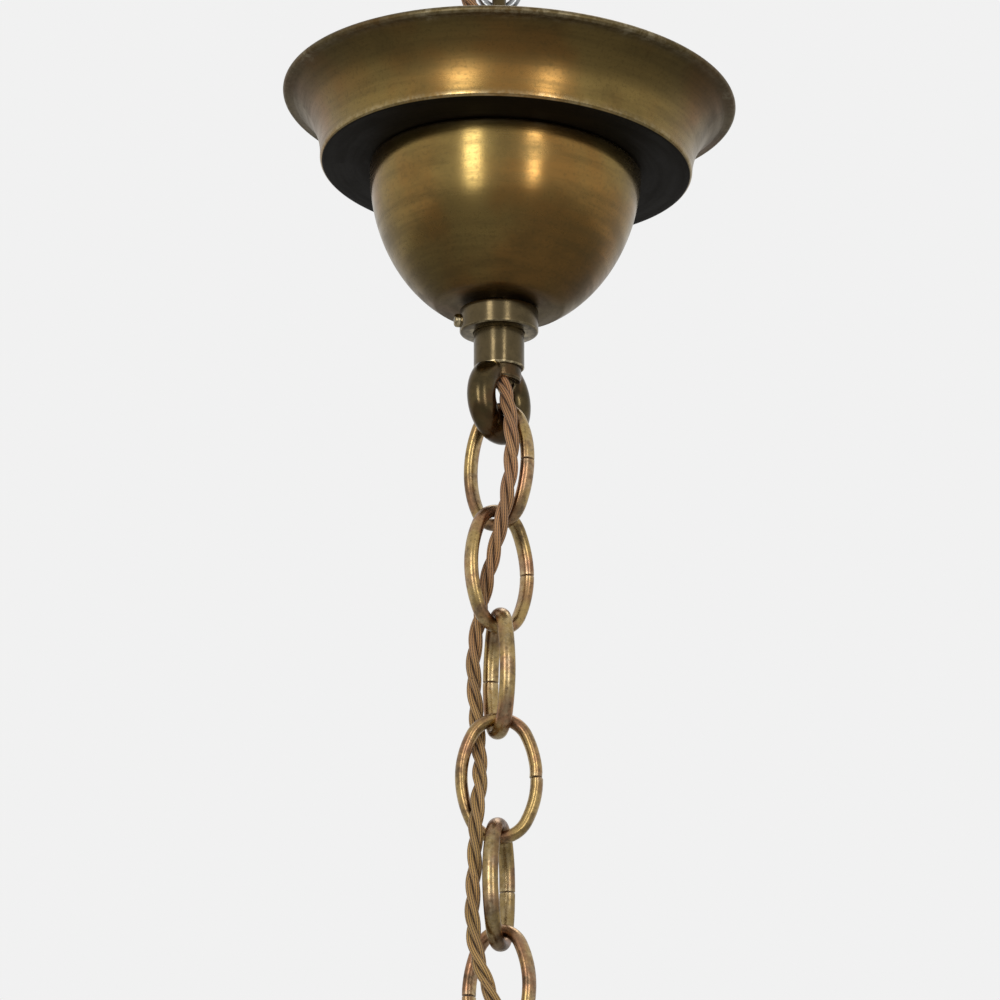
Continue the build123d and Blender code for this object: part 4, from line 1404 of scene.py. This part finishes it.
class SUSPENSION_OT_fittings(bpy.types.Operator):
    """Give the strap, the terminal block and the inner pieces their finishes"""

    bl_idname = "suspension.fittings"
    bl_label = "Ceiling fittings"

    def execute(self, context):
        finish = sizes("finishes")
        for node in ("ceiling_strap", "block_screw", "terminal_screws"):
            repaint(node, plated_steel())
        for node in ("threaded_tube", "terminal_barrels", "canopy_rivets"):
            repaint(node, raw_brass())
        repaint("seat_washer", turned_bronze())
        repaint("terminal_block", moulded("moulded block", finish.block, 0.42))
        repaint("tube_bushes", moulded("moulded bush", finish.bush, 0.45))
        repaint("core_ends", moulded("core sheath", finish.sheath, 0.38))
        return {"FINISHED"}


# Stage

# Metres from the ceiling to the floor, and from the lamps to the point that they face
FLOOR_DEPTH = 2.2
LAMP_DISTANCE = 2.2
LIT_POINT = Vector((0, 0, -0.20))

# Name, azimuth and elevation in degrees, width and height in metres, and watts
LAMPS = (
    ("left window", -27.0, 6.0, 0.50, 1.25, 11.0),
    ("right window", 24.0, 6.0, 0.34, 1.25, 7.5),
    ("top bank", 160.0, 62.0, 1.2, 1.2, 9.0),
)

# Where the photograph was taken from, how many degrees upward it looks, and its lens in millimetres
CAMERA_PLACE = (0.00033, -1.9092, -0.8136)
CAMERA_RISE = 17.33
LENS = 216


class SUSPENSION_OT_stage(bpy.types.Operator):
    """Set up the pale floor, the soft lights, the background and the camera"""

    bl_idname = "suspension.stage"
    bl_label = "Stage"

    def execute(self, context):
        finish = sizes("finishes")
        deselect()
        bpy.ops.mesh.primitive_plane_add(size=16, location=(0, 0, -FLOOR_DEPTH))
        floor = settle(context.object)
        floor.name = "pale_floor"
        material, sheet, shader, place = new_material("pale floor")
        mottle = sheet.noise(place, 3.0, 2.0)
        shade = sheet.blend(mottle, finish.pale, dimmed(finish.pale, 0.97))
        sheet.feed(shader.inputs, {"Base Color": shade, "Roughness": 0.8})
        floor.data.materials.append(material)

        world = bpy.data.worlds.new("studio")
        context.scene.world = world
        world.use_nodes = True
        world.node_tree.nodes.clear()
        sheet = Sheet(world.node_tree)
        path = sheet.add("ShaderNodeLightPath").outputs
        # The background looks pale, shows a little darker in the metals, and lights gently
        seen = sheet.maths("MAXIMUM", path["Is Camera Ray"], path["Is Transmission Ray"])
        gloss = sheet.times(path["Is Glossy Ray"], 0.80)
        strength = sheet.maths("MAXIMUM", sheet.maths("MAXIMUM", seen, gloss), 0.42)
        back = sheet.add("ShaderNodeBackground", {"Color": (0.88, 0.88, 0.88), "Strength": strength})
        sheet.add("ShaderNodeOutputWorld", {"Surface": back.outputs[0]})

        for name, azimuth, elevation, width, height, power in LAMPS:
            lamp = bpy.data.lights.new(name, "AREA")
            lamp.shape = "RECTANGLE"
            lamp.size = width
            lamp.size_y = height
            lamp.energy = power
            holder = bpy.data.objects.new(name, lamp)
            context.scene.collection.objects.link(holder)
            turn, rise = radians(azimuth), radians(elevation)
            away = Vector((sin(turn) * cos(rise), -cos(turn) * cos(rise), sin(rise)))
            holder.location = LIT_POINT + away * LAMP_DISTANCE
            holder.rotation_euler = (-away).to_track_quat("-Z", "Y").to_euler()

        view = bpy.data.cameras.new("photo view")
        view.lens = LENS
        view.sensor_width = 36
        view.clip_start = 0.05
        view.clip_end = 60
        holder = bpy.data.objects.new("photo view", view)
        holder.location = CAMERA_PLACE
        holder.rotation_euler = (radians(90 + CAMERA_RISE), 0, 0)
        context.scene.collection.objects.link(holder)
        context.scene.camera = holder
        context.scene.view_settings.view_transform = "Standard"
        return {"FINISHED"}


# Add-on

GROUPS = {
    "canopy": CanopySizes,
    "stem": StemSizes,
    "chain": ChainSizes,
    "flex": FlexSizes,
    "hook": HookSizes,
    "finishes": Finishes,
}

OPERATORS = (
    SUSPENSION_OT_stage,
    SUSPENSION_OT_canopy_pan,
    SUSPENSION_OT_canopy_cup,
    SUSPENSION_OT_collar,
    SUSPENSION_OT_stem,
    SUSPENSION_OT_castings,
    SUSPENSION_OT_chain,
    SUSPENSION_OT_flex,
    SUSPENSION_OT_hook,
    SUSPENSION_OT_fittings,
)


class SUSPENSION_PT_pieces(bpy.types.Panel):
    """Buttons for each piece, with the sizes they use"""

    bl_idname = "SUSPENSION_PT_pieces"
    bl_label = "Chandelier suspension"
    bl_space_type = "VIEW_3D"
    bl_region_type = "UI"
    bl_category = "Suspension"

    def draw(self, context):
        for operator in OPERATORS:
            self.layout.operator(operator.bl_idname)
        for group in GROUPS:
            box = self.layout.box()
            box.label(text=group.capitalize())
            settings = getattr(context.scene, group)
            for key in settings.__annotations__:
                box.prop(settings, key)


def register():
    """Register the sizes, the operators and the panel."""
    for name, group in GROUPS.items():
        bpy.utils.register_class(group)
        setattr(bpy.types.Scene, name, bpy.props.PointerProperty(type=group))
    for operator in OPERATORS:
        bpy.utils.register_class(operator)
    bpy.utils.register_class(SUSPENSION_PT_pieces)


def unregister():
    """Take the panel, the operators and the sizes out again."""
    bpy.utils.unregister_class(SUSPENSION_PT_pieces)
    for operator in reversed(OPERATORS):
        bpy.utils.unregister_class(operator)
    for name, group in GROUPS.items():
        delattr(bpy.types.Scene, name)
        bpy.utils.unregister_class(group)


def main():
    """Model every piece in turn."""
    register()
    bpy.ops.suspension.stage()
    bpy.ops.suspension.canopy_pan()
    bpy.ops.suspension.canopy_cup()
    bpy.ops.suspension.collar()
    bpy.ops.suspension.stem()
    bpy.ops.suspension.castings()
    bpy.ops.suspension.chain()
    bpy.ops.suspension.flex()
    bpy.ops.suspension.hook()
    bpy.ops.suspension.fittings()


if __name__ == "__main__":
    main()
